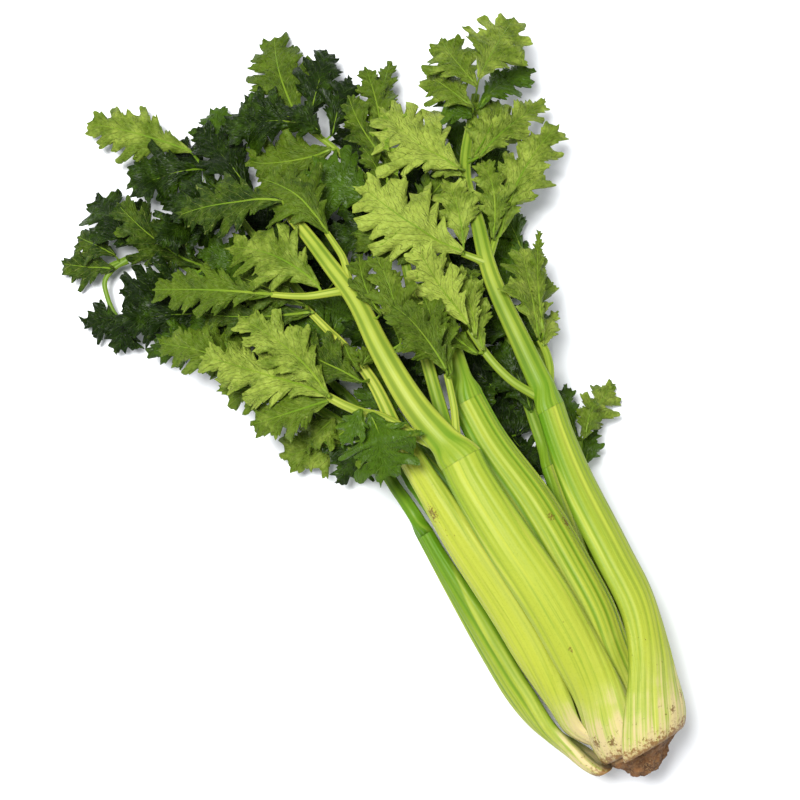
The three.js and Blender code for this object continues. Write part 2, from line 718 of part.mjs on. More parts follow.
/** The squashed stem that the stalks stand round, with the rough root scar behind it. */
function crownGeometry() {
  const profile = [ // radius and height, from the middle of the scar to the top inside the stalks
    [0, -14], [5, -13.6], [9, -11], [11.5, -7], [CROWN_RADIUS - 2.5, -4.4], [CROWN_RADIUS, -2],
    [CROWN_RADIUS, 0.5], [12, 4.2], [INNER_RING - 6, 5.2], [HEART_RING - 3, 10], [0, 10.8],
  ].map(([radius, height]) => new THREE.Vector2(radius, height));
  const geometry = new THREE.LatheGeometry(profile, CROWN_SIDES);
  const position = geometry.attributes.position;
  for (let i = 0; i < position.count; i += 1) {
    const angle = Math.atan2(position.getX(i), position.getZ(i));
    const dents = ROUGH_WAVES.map(({ count, depth, turn }) => depth * Math.sin(angle * count + turn));
    const rough = position.getY(i) < ROUGH_START ? dents.reduce((sum, dent) => sum + dent, 1) : 1;
    const lean = SCAR_LEAN * Math.min(0, position.getY(i) - SCAR_START);
    position.setX(i, position.getX(i) * rough + lean);
    position.setZ(i, position.getZ(i) * rough);
  }
  return geometry;
}

// ---------------------------------------------------------------- materials
const crownMaterial = new THREE.MeshStandardMaterial({ color: 0xa98a62, roughness: 0.9, metalness: 0 });
const stalkMaterial = new THREE.MeshStandardMaterial({ color: 0xc9d48c, roughness: 0.45, metalness: 0 });
const leafMaterial = new THREE.MeshStandardMaterial({ color: 0x6f8f3c, roughness: 0.6, metalness: 0 });

// ---------------------------------------------------------------- the head of celery
const head = new THREE.Group();

function addPiece(name, geometry, material) {
  const mesh = new THREE.Mesh(geometry, material.clone());
  mesh.name = name;
  head.add(mesh);
}

const crown = crownGeometry();
crown.translate(BUTT.x, BUTT.y, BUTT.z);
addPiece("crown", joinedGeometry([solidOf(crown)]), crownMaterial);

STALKS.forEach((stalk, i) => {
  const slab = stalkGeometry(stalk);
  addPiece(`leaf_${stalk.name}`, leafGeometry(stalk, slab, i + 1), leafMaterial);
  addPiece(`stalk_${stalk.name}`, joinedGeometry([solidOf(slab)]), stalkMaterial);
});

const box = new THREE.Box3().setFromObject(head);
const onGrid = (value) => Math.round(value / GRID) * GRID;
head.position.set(-onGrid((box.min.x + box.max.x) / 2), -onGrid((box.min.y + box.max.y) / 2), 0);

export default head;
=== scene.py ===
"""A head of celery lying on its side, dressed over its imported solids.

The plans of the stalks are in millimetres, in the layout's own frame: the head lies along +Y, with
its butt at -Y. The finished pieces are in metres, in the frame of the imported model.
"""

from __future__ import annotations

import logging
import math
from collections.abc import Iterable
from dataclasses import dataclass, field
from enum import Enum
from functools import lru_cache

import bpy
import numpy as np
from mathutils import Matrix, Vector, noise

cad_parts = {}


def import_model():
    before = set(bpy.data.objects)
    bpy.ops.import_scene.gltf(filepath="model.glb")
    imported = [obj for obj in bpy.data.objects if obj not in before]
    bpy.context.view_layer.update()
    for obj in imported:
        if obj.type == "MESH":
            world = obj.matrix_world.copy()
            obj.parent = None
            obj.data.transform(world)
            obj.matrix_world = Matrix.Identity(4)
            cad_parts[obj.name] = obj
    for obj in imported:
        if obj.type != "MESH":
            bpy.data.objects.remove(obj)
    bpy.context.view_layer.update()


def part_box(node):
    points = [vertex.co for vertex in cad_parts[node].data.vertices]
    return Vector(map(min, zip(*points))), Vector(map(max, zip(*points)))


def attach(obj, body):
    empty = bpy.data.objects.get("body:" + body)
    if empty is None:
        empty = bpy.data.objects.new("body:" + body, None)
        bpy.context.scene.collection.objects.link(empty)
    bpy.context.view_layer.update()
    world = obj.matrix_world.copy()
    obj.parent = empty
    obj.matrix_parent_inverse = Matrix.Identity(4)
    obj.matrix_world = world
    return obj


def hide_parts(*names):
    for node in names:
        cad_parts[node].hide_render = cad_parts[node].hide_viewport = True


log = logging.getLogger("celery")

MM = 0.001

# ---------------------------------------------------------------- driving dimensions, in millimetres
NODE_GAP = 0.8  # clear height between one leaf and what it lies on
SOLID_BLADE = 0.8  # thickness of the solids' blades, which the fine blades lie inside
BUTT = (17.0, -205.0, 34.0)  # middle of the ring of stalk bases

# The radii at which stalks grow round the heart.
OUTER_RING = 21
SIDE_RING = 24
BULGE_RING = 25
INNER_RING = 15.4
HEART_RING = 8.8

RIB_HEIGHT = 0.9
FOOT_SETBACK = 0.9  # the nearer the heart, the higher a stalk's foot stands on the crown
BASE_CURVE = 0.4  # share of a stalk over which it opens from its foot's size
TOP_TAPER = 0.62  # share of a stalk from which it narrows to its joint
BACK_BEND = 0.64  # radius of a stalk's back against its width
EDGE_THINNING = 0.6  # share of the wall's thickness that is lost at its edges
JOINT_GAP = 0.3  # between a solid stalk and its leafy top
FEW_RIBS = 3  # up to which a solid stalk has few rows
STALK_ROWS = 8
SMALL_STALK_ROWS = 6

STEM_FLATNESS = 0.72  # height of a stem against its width
STEM_STEP = 24
STEM_STATION = 9  # between the places at which a stem is held clear of what it crosses
STEM_FEELERS = 8  # how many spots are felt round each of them
STEM_TAPER = 0.8
THICK_STEM = 11  # width past which a solid stem has more sides
STEM_AGE = 200  # how far up the stalk its leaf's stem counts as grown, for the colours
SIDE_STEM_AGE = 240

SMALL_LENGTH = 42  # below which a leaflet has fewer lobes
TINY_LENGTH = 23
STALKLET_REACH = 9  # up to which a leaflet's own little stalk is one step long
STALKLET_THICKNESS = 1.9
LEAST_HALF_WIDTH = 0.8
STEEPEST = 0.65  # slope between neighbouring points of a leaflet that is raised
ROOT_STATIONS = 40  # places along each stem where a leaflet may be rooted
ROOT_PLAY = 0.6
ROOT_REACH = 4  # round its foot, a leaflet isn't raised by its own leaf
ROUNDS = 14  # of raising
WHOLE_ROUNDS = 4  # the last of them, in which a face rises as a whole
DROOP = (0.19, 0.58)  # how far a tip hangs, against the length
FOLD = (0.1, 0.3)  # slope of either half, down from the midrib
WAVE = (0.6, 2.0)  # height of the waves of a margin
WAVE_TURN = 1.9  # radians of a wave from row to row
RISE = 0.1  # slope of the midrib at its foot
SWEEP = 0.16  # how far the midrib bows to one side, against its length
UNEVEN = 0.16  # how much the width differs from row to row
VEIN_SPACING = 6.0
VEIN_SLOPE = 1.5  # how far a vein runs forward for each millimetre that it runs out

CROWN_RADIUS = OUTER_RING - 2.9
SCAR_START = -2  # height below which the scar leans
SCAR_LEAN = 0.3
ROUGH_START = -3

Piece = bpy.types.Object
Material = bpy.types.Material
Socket = bpy.types.NodeSocket
Feed = Socket | float  # what feeds a node: another one, or a number
Paint = Socket | str  # a colour: a node's, or an sRGB hex code
Values = np.ndarray | float
Leaflet = tuple[float, float, float, float, float]  # its foot x, y, its tip x, y and its width
Spot = tuple[float, float, float]


class Side(Enum):
    """A side of a leaf; the value is its finish's place in the leafy top's list."""

    UNDER = 0
    UPPER = 1

    def other(self) -> Side:
        """Gives the side that lies below."""
        return Side.UPPER if self is Side.UNDER else Side.UNDER


@dataclass(frozen=True)
class Base:
    """Where a stalk grows out of the butt, and its size there."""

    ring: float  # how far it is from the middle of the butt
    angle: float  # how far round it is from the top, degrees
    width: float
    thickness: float


@dataclass(frozen=True)
class StemPlan:
    """A leaf stem: its route and its width at either end."""

    route: tuple[Spot, ...]
    start: float
    end: float


@dataclass(frozen=True)
class StalkPlan:
    """A stalk and its leafy top."""

    name: str
    base: Base
    route: tuple[Spot, ...]
    facing: float  # how far its back is turned from the top, degrees
    width: float
    thickness: float
    joint: float  # its width where its leaf begins
    ribs: int
    fullness: float  # how wide its leaflets are against their plan
    shows: Side  # the side of its leaf that lies uppermost
    turned: tuple[int, ...]  # the leaflets that lie the other side up
    tints_and_shade: tuple[float, ...]  # how dark each leaflet is, from 0 to 1: its own tone, with painted shade on those that lie low in the pile
    stems: tuple[StemPlan, ...]
    leaflets: tuple[Leaflet, ...]


@dataclass(frozen=True)
class LowLeaflets:
    """Leaflets under the others, tinted dark to paint the shade in the gaps between the leaves."""

    tint: float
    leaflets: tuple[Leaflet, ...]


@dataclass(frozen=True)
class Growth:
    """How one stalk has grown; every share runs from 0 to 1."""

    green: float
    ribs: float  # how much its grooves stand out, in shape and in their painted shade
    edges: float  # how much greener its edges are
    foot: float  # how much wider its foot is, where the feet grow together


@dataclass(frozen=True)
class Bruise:
    """A brown spot on a stalk's back."""

    across: float  # from -1 at the stalk's left edge to 1 at its right one
    height: float  # up the stalk, millimetres
    size: float


# The stalks in the order in which they are laid, from the surface up.
STALKS = (
    StalkPlan(
        name="f",
        base=Base(ring=OUTER_RING, angle=109, width=19, thickness=4.6),
        route=((47, -172, 20), (49, -120, 18), (53, -98, 17), (57, -84, 17)),
        facing=113, width=21, thickness=6.5, joint=12, ribs=3, fullness=1.1,
        shows=Side.UPPER, turned=(1, 2),
        tints_and_shade=(0.65, 0.35, 0.45, 0.6, 0.6, 0.6),
        stems=(
            StemPlan(
                route=((57.2, -83.6, 17), (65, -54, 14), (74, -19, 9), (87, 23, 7), (99, 57, 6)),
                start=9, end=4,
            ),
            StemPlan(route=((61, -73, 16), (70, -61, 14)), start=5, end=3.5),
        ),
        leaflets=(
            (69, -59, 78, -33, 10), (71, -60, 101, -44, 18), (71, -62, 87, -48, 12),
            (78, -13, 82, 16, 22), (94, 38, 94, 68, 17), (99, 57, 108, 93, 15),
        ),
    ),
    StalkPlan(
        name="g",
        base=Base(ring=OUTER_RING, angle=168, width=19, thickness=4.6),
        route=((20, -170, 7), (16, -138, 2.6), (15, -104, 2.6), (21, -82, 4.5), (28, -60, 8)),
        facing=180, width=24, thickness=7.5, joint=13, ribs=3, fullness=1.35,
        shows=Side.UPPER, turned=(),
        tints_and_shade=(0.95, 0.95, 0.95, 0.95, 0.95, 0.95),
        stems=(
            StemPlan(route=((28.2, -59.6, 8), (39, -25, 8), (52, 25, 7), (64, 77, 6)), start=10, end=4),
        ),
        leaflets=(
            (42, -52, 39, -21, 23), (43, -43, 69, -31, 19), (46, -19, 35, 8, 20), (51, 9, 76, 13, 20),
            (64, 77, 72, 111, 20), (32, -50, 51, -63, 16),
        ),
    ),
    StalkPlan(
        name="h",
        base=Base(ring=INNER_RING, angle=-152, width=17, thickness=4),
        route=((3, -172, 20), (-4, -120, 20), (-9.5, -70, 17.5), (-12, -42, 14)),
        facing=-140, width=19, thickness=6.5, joint=12, ribs=3, fullness=1.4,
        shows=Side.UPPER, turned=(2, 3, 5),
        tints_and_shade=(0.95, 0.95, 0.85, 0.85, 0.9, 0.8, 1, 0.95, 0.7, 0.8),
        stems=(
            StemPlan(
                route=(
                    (-12.1, -41.6, 14), (-22, 18, 10), (-38, 57, 8), (-51, 91, 7), (-60, 119, 8),
                    (-76, 134, 10), (-93, 137, 12),
                ),
                start=9, end=3,
            ),
            StemPlan(
                route=((-84, 135.6, 11), (-98, 133, 11), (-103, 118, 9), (-102, 108, 7)),
                start=3.2, end=2.4,
            ),
        ),
        leaflets=(
            (-103, 111, -120, 121, 15), (-100, 106, -113, 97, 15), (-92, 134, -114, 152, 15),
            (-88, 139, -100, 159, 15), (-71, 134, -82, 173, 25), (-51, 112, -74, 160, 22),
            (-53, 97, -95, 122, 26), (-49, 84, -104, 107, 24), (-40, 63, -98, 86, 20),
            (-23, 18, -42, 8, 21),
        ),
    ),
    StalkPlan(
        name="k",
        base=Base(ring=HEART_RING, angle=-120, width=11, thickness=3),
        route=((9, -165, 29), (7, -120, 29), (2, -60, 29), (-3, -30, 29)),
        facing=-118, width=15, thickness=5, joint=9, ribs=3, fullness=1.5,
        shows=Side.UPPER, turned=(0,),
        tints_and_shade=(0.35, 0.9, 0.9, 0.9, 0.7, 1, 0.8, 0.7, 0.65, 0.65, 0.7),
        stems=(
            StemPlan(
                route=((-3.1, -29.6, 29), (-10, 32, 26), (-17, 81, 22), (-23, 123, 19), (-26, 159, 16)),
                start=7, end=3,
            ),
        ),
        leaflets=(
            (-28, 168, -67, 210, 21), (-28, 157, -65, 168, 23), (-25, 140, -66, 130, 23),
            (-24, 123, -49, 147, 27), (-19, 153, -1, 183, 17), (-12, 130, -18, 178, 19),
            (-18, 84, -4, 107, 27), (-19, 92, -50, 119, 22), (-14, 45, 4, 63, 28),
            (-6, -15, -3, 33, 17), (-11, 38, -31, 61, 21),
        ),
    ),
    StalkPlan(
        name="l",
        base=Base(ring=HEART_RING, angle=105, width=11, thickness=3),
        route=((30, -165, 34), (37, -120, 33), (44, -87, 30), (48, -66, 29)),
        facing=62, width=20, thickness=5, joint=10, ribs=3, fullness=1.3,
        shows=Side.UPPER, turned=(),
        tints_and_shade=(0.8, 0.75, 0.6, 0.6),
        stems=(
            StemPlan(route=((48.2, -65.6, 29), (58, -21, 24), (70, 20, 19), (82, 52, 16)), start=7, end=3),
        ),
        leaflets=((54, -37, 55, 1, 23), (64, 2, 53, 20, 17), (69, 19, 97, 37, 17), (81, 51, 106, 81, 16)),
    ),
    StalkPlan(
        name="j",
        base=Base(ring=0, angle=20, width=7, thickness=4),
        route=((19, -165, 34), (20, -120, 32), (21, -70, 33), (21, -45, 33)),
        facing=20, width=9, thickness=6, joint=7, ribs=3, fullness=1.2,
        shows=Side.UPPER, turned=(),
        tints_and_shade=(0.85, 0.8),
        stems=(
            StemPlan(route=((21.1, -44.6, 33), (25, -11, 33), (29, 11, 33)), start=6, end=3),
        ),
        leaflets=((28, -21, 45, -18, 11), (27, 1, 13, 11, 12)),
    ),
    StalkPlan(
        name="i",
        base=Base(ring=HEART_RING, angle=-5, width=11, thickness=3),
        route=((12, -165, 42), (10, -120, 46), (8, -70, 47), (9, -35, 48)),
        facing=-8, width=15, thickness=5, joint=10, ribs=3, fullness=1.3,
        shows=Side.UPPER, turned=(0, 3),
        tints_and_shade=(0.65, 0.95, 0.85, 0.6, 0.95, 0.9, 0.6, 0.85, 0.9, 0.9),
        stems=(
            StemPlan(
                route=(
                    (9, -34.6, 48), (23, 18, 43), (38, 64, 38), (42, 97, 34), (37, 126, 28),
                    (28, 150, 24),
                ),
                start=8, end=3,
            ),
        ),
        leaflets=(
            (28, 152, 41, 203, 29), (31, 149, 60, 181, 20), (26, 153, 10, 178, 17),
            (34, 129, -5, 147, 28), (38, 136, 63, 160, 15), (25, 149, -8, 168, 22),
            (38, 95, 16, 124, 31), (40, 80, 4, 90, 23), (33, 138, 22, 158, 14), (28, 18, -8, 43, 25),
        ),
    ),
    StalkPlan(
        name="a",
        base=Base(ring=BULGE_RING, angle=-110, width=20, thickness=7),
        route=(
            (-12.5, -193, 20), (-19.5, -176, 18), (-23, -156, 17), (-23.5, -131, 16), (-23, -96, 16),
            (-22, -64, 17),
        ),
        facing=-72, width=20, thickness=7.5, joint=10, ribs=4, fullness=1.3,
        shows=Side.UNDER, turned=(1,),
        tints_and_shade=(0.35, 0.85, 0.55, 0.5, 0.5, 0.4),
        stems=(
            StemPlan(
                route=((-22, -63.6, 17), (-23, -39, 16), (-26, -7, 12), (-41, 25, 10), (-60, 55, 9)),
                start=8, end=4,
            ),
        ),
        leaflets=(
            (-28, 1, -66, 7, 23), (-28, -8, -48, -19, 20), (-54, 47, -75, 82, 22),
            (-60, 55, -90, 85, 19), (-47, 35, -75, 50, 18), (-33, 9, -53, 2, 18),
        ),
    ),
    StalkPlan(
        name="d",
        base=Base(ring=INNER_RING, angle=8, width=17, thickness=4),
        route=(
            (24, -179, 47), (26, -159, 51), (29, -139, 53), (30, -112, 53), (30, -78, 52),
            (27, -42, 49), (28, -19, 46),
        ),
        facing=20, width=21, thickness=7, joint=16, ribs=5, fullness=1.2,
        shows=Side.UNDER, turned=(),
        tints_and_shade=(0.65, 0.6, 0.7, 0.7, 0.7, 0.6, 0.7),
        stems=(
            StemPlan(
                route=((28, -18.6, 46), (37, 18, 41), (46, 55, 36), (52, 88, 32), (58, 116, 29)),
                start=12, end=4,
            ),
        ),
        leaflets=(
            (58, 116, 87, 160, 13), (57, 116, 72, 161, 16), (55, 106, 56, 150, 15),
            (51, 86, 47, 120, 11), (52, 79, 83, 91, 18), (39, 28, 67, 38, 16), (45, 50, 21, 84, 21),
        ),
    ),
    StalkPlan(
        name="b",
        base=Base(ring=INNER_RING, angle=-95, width=11, thickness=3.6),
        route=(
            (-9, -184, 31), (-9.5, -169, 39), (-9, -150, 44), (-9, -120, 46), (-11, -76, 47),
            (-11, -53, 46), (-11, -24, 44),
        ),
        facing=-42, width=20, thickness=7, joint=12, ribs=4, fullness=1.2,
        shows=Side.UNDER, turned=(),
        tints_and_shade=(0.6, 0.7, 0.65, 0.8, 0.75),
        stems=(
            StemPlan(
                route=((-11.1, -23.6, 44), (-8, 16, 41), (-13, 42, 38), (-18, 63, 36)),
                start=9, end=3.5,
            ),
        ),
        leaflets=(
            (-11, 36, -11, 21, 10), (-13, 15, -35, 55, 23), (-9, 22, 2, 30, 9), (-17, 59, -64, 87, 20),
            (-18, 63, -40, 96, 20),
        ),
    ),
    StalkPlan(
        name="e",
        base=Base(ring=SIDE_RING, angle=16, width=33, thickness=6),
        route=(
            (34, -185, 59), (41, -170, 60), (49, -146, 59), (51.5, -119, 57), (54.5, -81, 53),
            (58.5, -56, 50), (61.5, -43, 49),
        ),
        facing=40, width=20.5, thickness=7.5, joint=15, ribs=5, fullness=1.1,
        shows=Side.UNDER, turned=(8, 9),
        tints_and_shade=(
            0.28, 0.35, 0.25, 0.1, 0.35, 0.3, 0.3, 0.15, 0.55, 0.6, 0.4, 0.4, 0.3, 0.35, 0.6, 0.25, 0.1,
            0.25, 0.35, 0.35,
        ),
        stems=(
            StemPlan(
                route=(
                    (61.5, -42.6, 49), (65, -8, 46), (70, 31, 42), (78, 57, 38), (85, 81, 34),
                    (94, 95, 31), (105, 108, 28), (113, 118, 26),
                ),
                start=14, end=4.5,
            ),
            StemPlan(route=((60, -38, 49), (51, -22, 50), (47, -6, 50), (46, 11, 49)), start=5, end=4),
            StemPlan(route=((64, -36, 48), (73, -21, 42), (75, -10, 38)), start=5, end=4),
            StemPlan(route=((71, 37, 42), (63, 47, 42)), start=4.5, end=3.5),
            StemPlan(route=((71, 36, 42), (82, 46, 38)), start=4.5, end=3.5),
        ),
        leaflets=(
            (84, 46, 142, 83, 26), (80, 46, 97, 85, 19), (66, 51, 76, 84, 22), (63, 47, 36, 101, 41),
            (93, 88, 122, 110, 26), (95, 86, 144, 99, 19), (83, 82, 68, 98, 11), (83, 85, 64, 131, 42),
            (109, 109, 147, 116, 17), (103, 106, 93, 123, 18), (105, 109, 96, 139, 22),
            (111, 116, 111, 151, 27), (113, 117, 150, 142, 32), (46, -2, 61, 35, 16),
            (43, -2, 21, 44, 21), (46, 6, 54, 47, 13), (45, 12, 42, 60, 24), (75, -13, 91, -1, 10),
            (74, -9, 92, 37, 25), (76, -9, 104, 39, 8),
        ),
    ),
    StalkPlan(
        name="c",
        base=Base(ring=OUTER_RING, angle=-52, width=21, thickness=4.6),
        route=(
            (3.5, -190, 49), (8.5, -171, 55), (10, -150, 62), (10, -122, 68), (8, -89, 70),
            (7.5, -55, 67), (8.5, -44, 65),
        ),
        facing=-5, width=22, thickness=7.5, joint=18.5, ribs=5, fullness=1.15,
        shows=Side.UNDER, turned=(0, 1),
        tints_and_shade=(0.5, 0.45, 0.45, 0.2, 0.25, 0.7, 0.45, 0.6, 0.65, 0.6, 0.35, 0.65, 0.85),
        stems=(
            StemPlan(
                route=(
                    (8.5, -43.6, 65), (2.5, -12, 64), (2, 21, 62), (4, 50, 58), (2, 72, 54),
                    (0, 92, 50), (-3, 112, 46),
                ),
                start=18, end=6,
            ),
            StemPlan(
                route=((5, -37, 64), (-6, -20, 61), (-13, -7, 57), (-23, 4, 52), (-31, 17, 48)),
                start=6, end=4.5,
            ),
            StemPlan(route=((11, -36, 64), (19, -19, 61), (24, -4, 59)), start=4.5, end=3.5),
            StemPlan(route=((3, 57, 57), (-16, 65, 53), (-30, 75, 49)), start=5, end=3),
            StemPlan(route=((4, 57, 57), (9, 70, 55), (9, 88, 51)), start=5, end=3),
        ),
        leaflets=(
            (-18, -2, -28, -33, 35), (-21, 1, -38, -9, 14), (-31, 15, -71, 26, 22),
            (-31, 17, -76, 65, 29), (-31, 17, -50, 74, 27), (10, 36, 17, 70, 13), (12, 20, 23, 64, 19),
            (25, -6, 34, 35, 19), (24, -3, 16, 36, 24), (-30, 75, -80, 111, 24), (-8, 66, -35, 109, 31),
            (9, 88, -5, 131, 33), (-3, 112, -50, 136, 27),
        ),
    ),
)

# Half of a leaflet's outline from foot to tip: how far along its edge and its midrib are, and how
# wide it is against its full half width.
OUTLINE = (
    (0, 0, 0.06), (0.27, 0.2, 0.42), (0.56, 0.4, 1), (0.6, 0.54, 0.56), (0.78, 0.68, 0.74),
    (0.81, 0.8, 0.46), (0.93, 0.9, 0.36), (1, 1, 0.05),
)
SMALL_OUTLINE = (
    (0, 0, 0.06), (0.27, 0.2, 0.42), (0.56, 0.42, 1), (0.62, 0.6, 0.56), (0.8, 0.78, 0.7), (1, 1, 0.05),
)
TINY_OUTLINE = ((0, 0, 0.06), (0.5, 0.4, 1), (0.66, 0.66, 0.5), (1, 1, 0.05))


# Leaflets that lie flat on the table under the gaps of the pile, by the stalk whose leaf they belong
# to. The others lie as if they weren't there.
# painted shade: the dark tints of these leaflets stand for the shade in the gaps between the leaves
LOW_LEAFLETS = {
    "f": LowLeaflets(0.55, (
        (87, 82, 100, 120, 16), (90, 75, 117, 95, 15), (66, -73, 82, -60, 12), (75, 21, 91, 64, 26),
        (64, -33, 74, 4, 22),
    )),
    "g": LowLeaflets(1.0, (
        (6, 59, -8, 92, 20), (17, -13, 12, 23, 22), (47, 111, 45, 145, 14), (68, 22, 67, 62, 22),
        (52, 58, 59, 98, 26), (37, 13, 43, 49, 24), (45, -40, 51, -7, 20), (37, 79, 36, 114, 24),
    )),
    "h": LowLeaflets(1.0, (
        (-9, 97, -18, 137, 22), (-26, 156, -34, 181, 14), (-25, 60, -57, 82, 26),
        (-35, 84, -57, 119, 26), (11, 76, 5, 113, 24), (-23, 11, -43, 38, 22), (21, 119, 9, 151, 24),
    )),
}

GROWTH = {
    "f": Growth(0.9, 0.8, 0.4, 0.1), "g": Growth(0.9, 0.8, 0.4, 0.1), "h": Growth(1.0, 0.8, 0.4, 0.1),
    "k": Growth(0.9, 0.7, 0.3, 0.1), "l": Growth(0.8, 0.7, 0.3, 0.1), "j": Growth(0.7, 0.5, 0.3, 0.1),
    "i": Growth(0.8, 0.5, 0.3, 0.1), "a": Growth(1.0, 0.9, 0.3, 0.2), "d": Growth(0.75, 0.95, 0.9, 0.2),
    "b": Growth(0.25, 0.45, 0.7, 1.3), "e": Growth(0.8, 0.6, 0.9, 0.2), "c": Growth(0.55, 0.5, 0.8, 0.8),
}

BRUISES = {
    "b": (Bruise(-0.2, 148, 5.0),),
    "d": (Bruise(0.1, 113, 3.2), Bruise(0.5, 107, 3.4)),
    "e": (Bruise(0.3, 12, 3.0), Bruise(0.7, 16, 2.6)),
    "c": (Bruise(-0.3, 12, 4.0), Bruise(0.2, 9, 3.0), Bruise(-0.1, 60, 1.8)),
}


# ---------------------------------------------------------------- small helpers
def draw(seed: float) -> float:
    """Gives a repeatable number from 0 to 1 for each seed."""
    value = math.sin(seed * 12.9898 + 4.1414) * 43758.5453
    return value - math.floor(value)


def mix(one: Values, other: Values, share: Values) -> Values:
    """Goes from one value to the other by a share from 0 to 1."""
    return one + (other - one) * share


def ease(value: Values, low: float, high: float) -> np.ndarray:
    """Rises smoothly from 0 at low to 1 at high."""
    share = np.clip((np.asarray(value, float) - low) / (high - low), 0, 1)
    return share * share * (3 - 2 * share)


def unit(vectors: np.ndarray) -> np.ndarray:
    """Scales each row to length 1."""
    return vectors / np.maximum(np.linalg.norm(vectors, axis=-1, keepdims=True), 1e-12)


class Curve:
    """A smooth curve through points, walked by its length."""

    DIVISIONS = 200
    STEP = 1e-4

    def __init__(self, points: Iterable[Spot]) -> None:
        """Measures the curve.

        Args:
            points: the points it goes through, in order.
        """
        inner = np.asarray(points, float)
        first = 2 * inner[0] - inner[1]
        last = 2 * inner[-1] - inner[-2]
        self.points = np.vstack([first, inner, last])
        self.spans = len(inner) - 1
        self.steps = np.linspace(0, 1, self.DIVISIONS + 1)
        chords = np.linalg.norm(np.diff(self.place(self.steps), axis=0), axis=1)
        self.walked = np.concatenate([[0], np.cumsum(chords)])
        self.length = float(self.walked[-1])

    def place(self, t: Values) -> np.ndarray:
        """Gives the points at the curve's own parameter.

        Args:
            t: parameters from 0 to 1.

        Returns:
            One point a row.
        """
        t = np.atleast_1d(np.asarray(t, float)) * self.spans
        span = np.minimum(t.astype(int), self.spans - 1)
        part = (t - span)[:, None]
        p0, p1, p2, p3 = (self.points[span + k] for k in range(4))
        pairs = ((p0, p1), (p1, p2), (p2, p3))
        d0, d1, d2 = (np.sqrt(np.linalg.norm(b - a, axis=1, keepdims=True)) for a, b in pairs)
        t1 = ((p1 - p0) / d0 - (p2 - p0) / (d0 + d1) + (p2 - p1) / d1) * d1
        t2 = ((p2 - p1) / d1 - (p3 - p1) / (d1 + d2) + (p3 - p2) / d2) * d1
        c2 = -3 * p1 + 3 * p2 - 2 * t1 - t2
        c3 = 2 * p1 - 2 * p2 + t1 + t2
        return p1 + t1 * part + c2 * part**2 + c3 * part**3

    def parameter(self, share: Values) -> np.ndarray:
        """Turns shares of the length into the curve's own parameter."""
        return np.interp(np.atleast_1d(share) * self.length, self.walked, self.steps)

    def at(self, share: Values) -> np.ndarray:
        """Gives the points at shares of the curve's length."""
        return self.place(self.parameter(share))

    def heading(self, share: Values) -> np.ndarray:
        """Gives the unit directions at shares of the curve's length."""
        t = self.parameter(share)
        return unit(self.place(np.minimum(t + self.STEP, 1)) - self.place(np.maximum(t - self.STEP, 0)))


# ---------------------------------------------------------------- the pile of leaves
@lru_cache(maxsize=None)
def spread(steps: int) -> np.ndarray:
    """Gives the weights of points spread evenly over a triangle.

    Args:
        steps: how many steps each side has.

    Returns:
        Three weights a row.
    """
    i, j = np.mgrid[0 : steps + 1, 0 : steps + 1]
    inside = i + j <= steps
    i, j = i[inside] / steps, j[inside] / steps
    return np.stack([i, j, 1 - i - j], axis=1)


class Pile:
    """The heights of what lies on the surface already, so that the next leaf is laid on top."""

    CELL = 1.2
    SPACING = 0.9
    SHAPE = (360, 460)
    ORIGIN = (180, 230)

    def __init__(self) -> None:
        """Starts with a bare surface."""
        self.laid = np.zeros(self.SHAPE)
        self.own = np.zeros(self.SHAPE)
        self.wide_laid = self.laid
        self.wide_own = self.own

    def cells(self, points: np.ndarray) -> tuple[np.ndarray, np.ndarray]:
        """Gives the two cell numbers of each point."""
        cell = np.floor(points[:, :2] / self.CELL + 0.5).astype(int)
        return cell[:, 0] + self.ORIGIN[0], cell[:, 1] + self.ORIGIN[1]

    def look(self) -> None:
        """Spreads each height over its neighbours' cells, for the questions that follow."""
        self.wide_laid = self.widen(self.laid)
        self.wide_own = self.widen(self.own)

    @staticmethod
    def widen(heights: np.ndarray) -> np.ndarray:
        """Gives each cell the highest value of the nine round it.

        Args:
            heights: one number a cell.

        Returns:
            The new numbers.
        """
        padded = np.pad(heights, 1)
        rows, columns = heights.shape
        shifted = [padded[i : i + rows, j : j + columns] for i in range(3) for j in range(3)]
        return np.maximum.reduce(shifted)

    def sample(self, corners: np.ndarray) -> tuple[np.ndarray, np.ndarray]:
        """Spreads points over a triangle.

        Args:
            corners: its three corners.

        Returns:
            The points and their weights.
        """
        sides = np.linalg.norm(corners - corners[[1, 2, 0]], axis=1)
        weights = spread(max(1, math.ceil(sides.max() / self.SPACING)))
        return weights @ corners, weights

    def stamp(self, points: np.ndarray, triangles: np.ndarray) -> None:
        """Adds the triangles to the leaf in hand."""
        spots = np.vstack([self.sample(points[corners])[0] for corners in triangles])
        np.maximum.at(self.own, self.cells(spots), spots[:, 2])

    def settle(self) -> None:
        """Counts the leaf in hand as laid."""
        self.laid = np.maximum(self.laid, self.own)
        self.own = np.zeros(self.SHAPE)


@lru_cache(maxsize=None)
def sheet_triangles(columns: int, rows: int) -> np.ndarray:
    """Splits a sheet into triangles; its rows run from the tip to the foot.

    Args:
        columns: how many faces wide it is.
        rows: how many faces long it is.

    Returns:
        Three vertex numbers a row.
    """
    faces = []
    for row in range(rows):
        for column in range(columns):
            a = column + (columns + 1) * row
            b = a + columns + 1
            faces += [(a, b, a + 1), (b, b + 1, a + 1)]
    return np.array(faces)


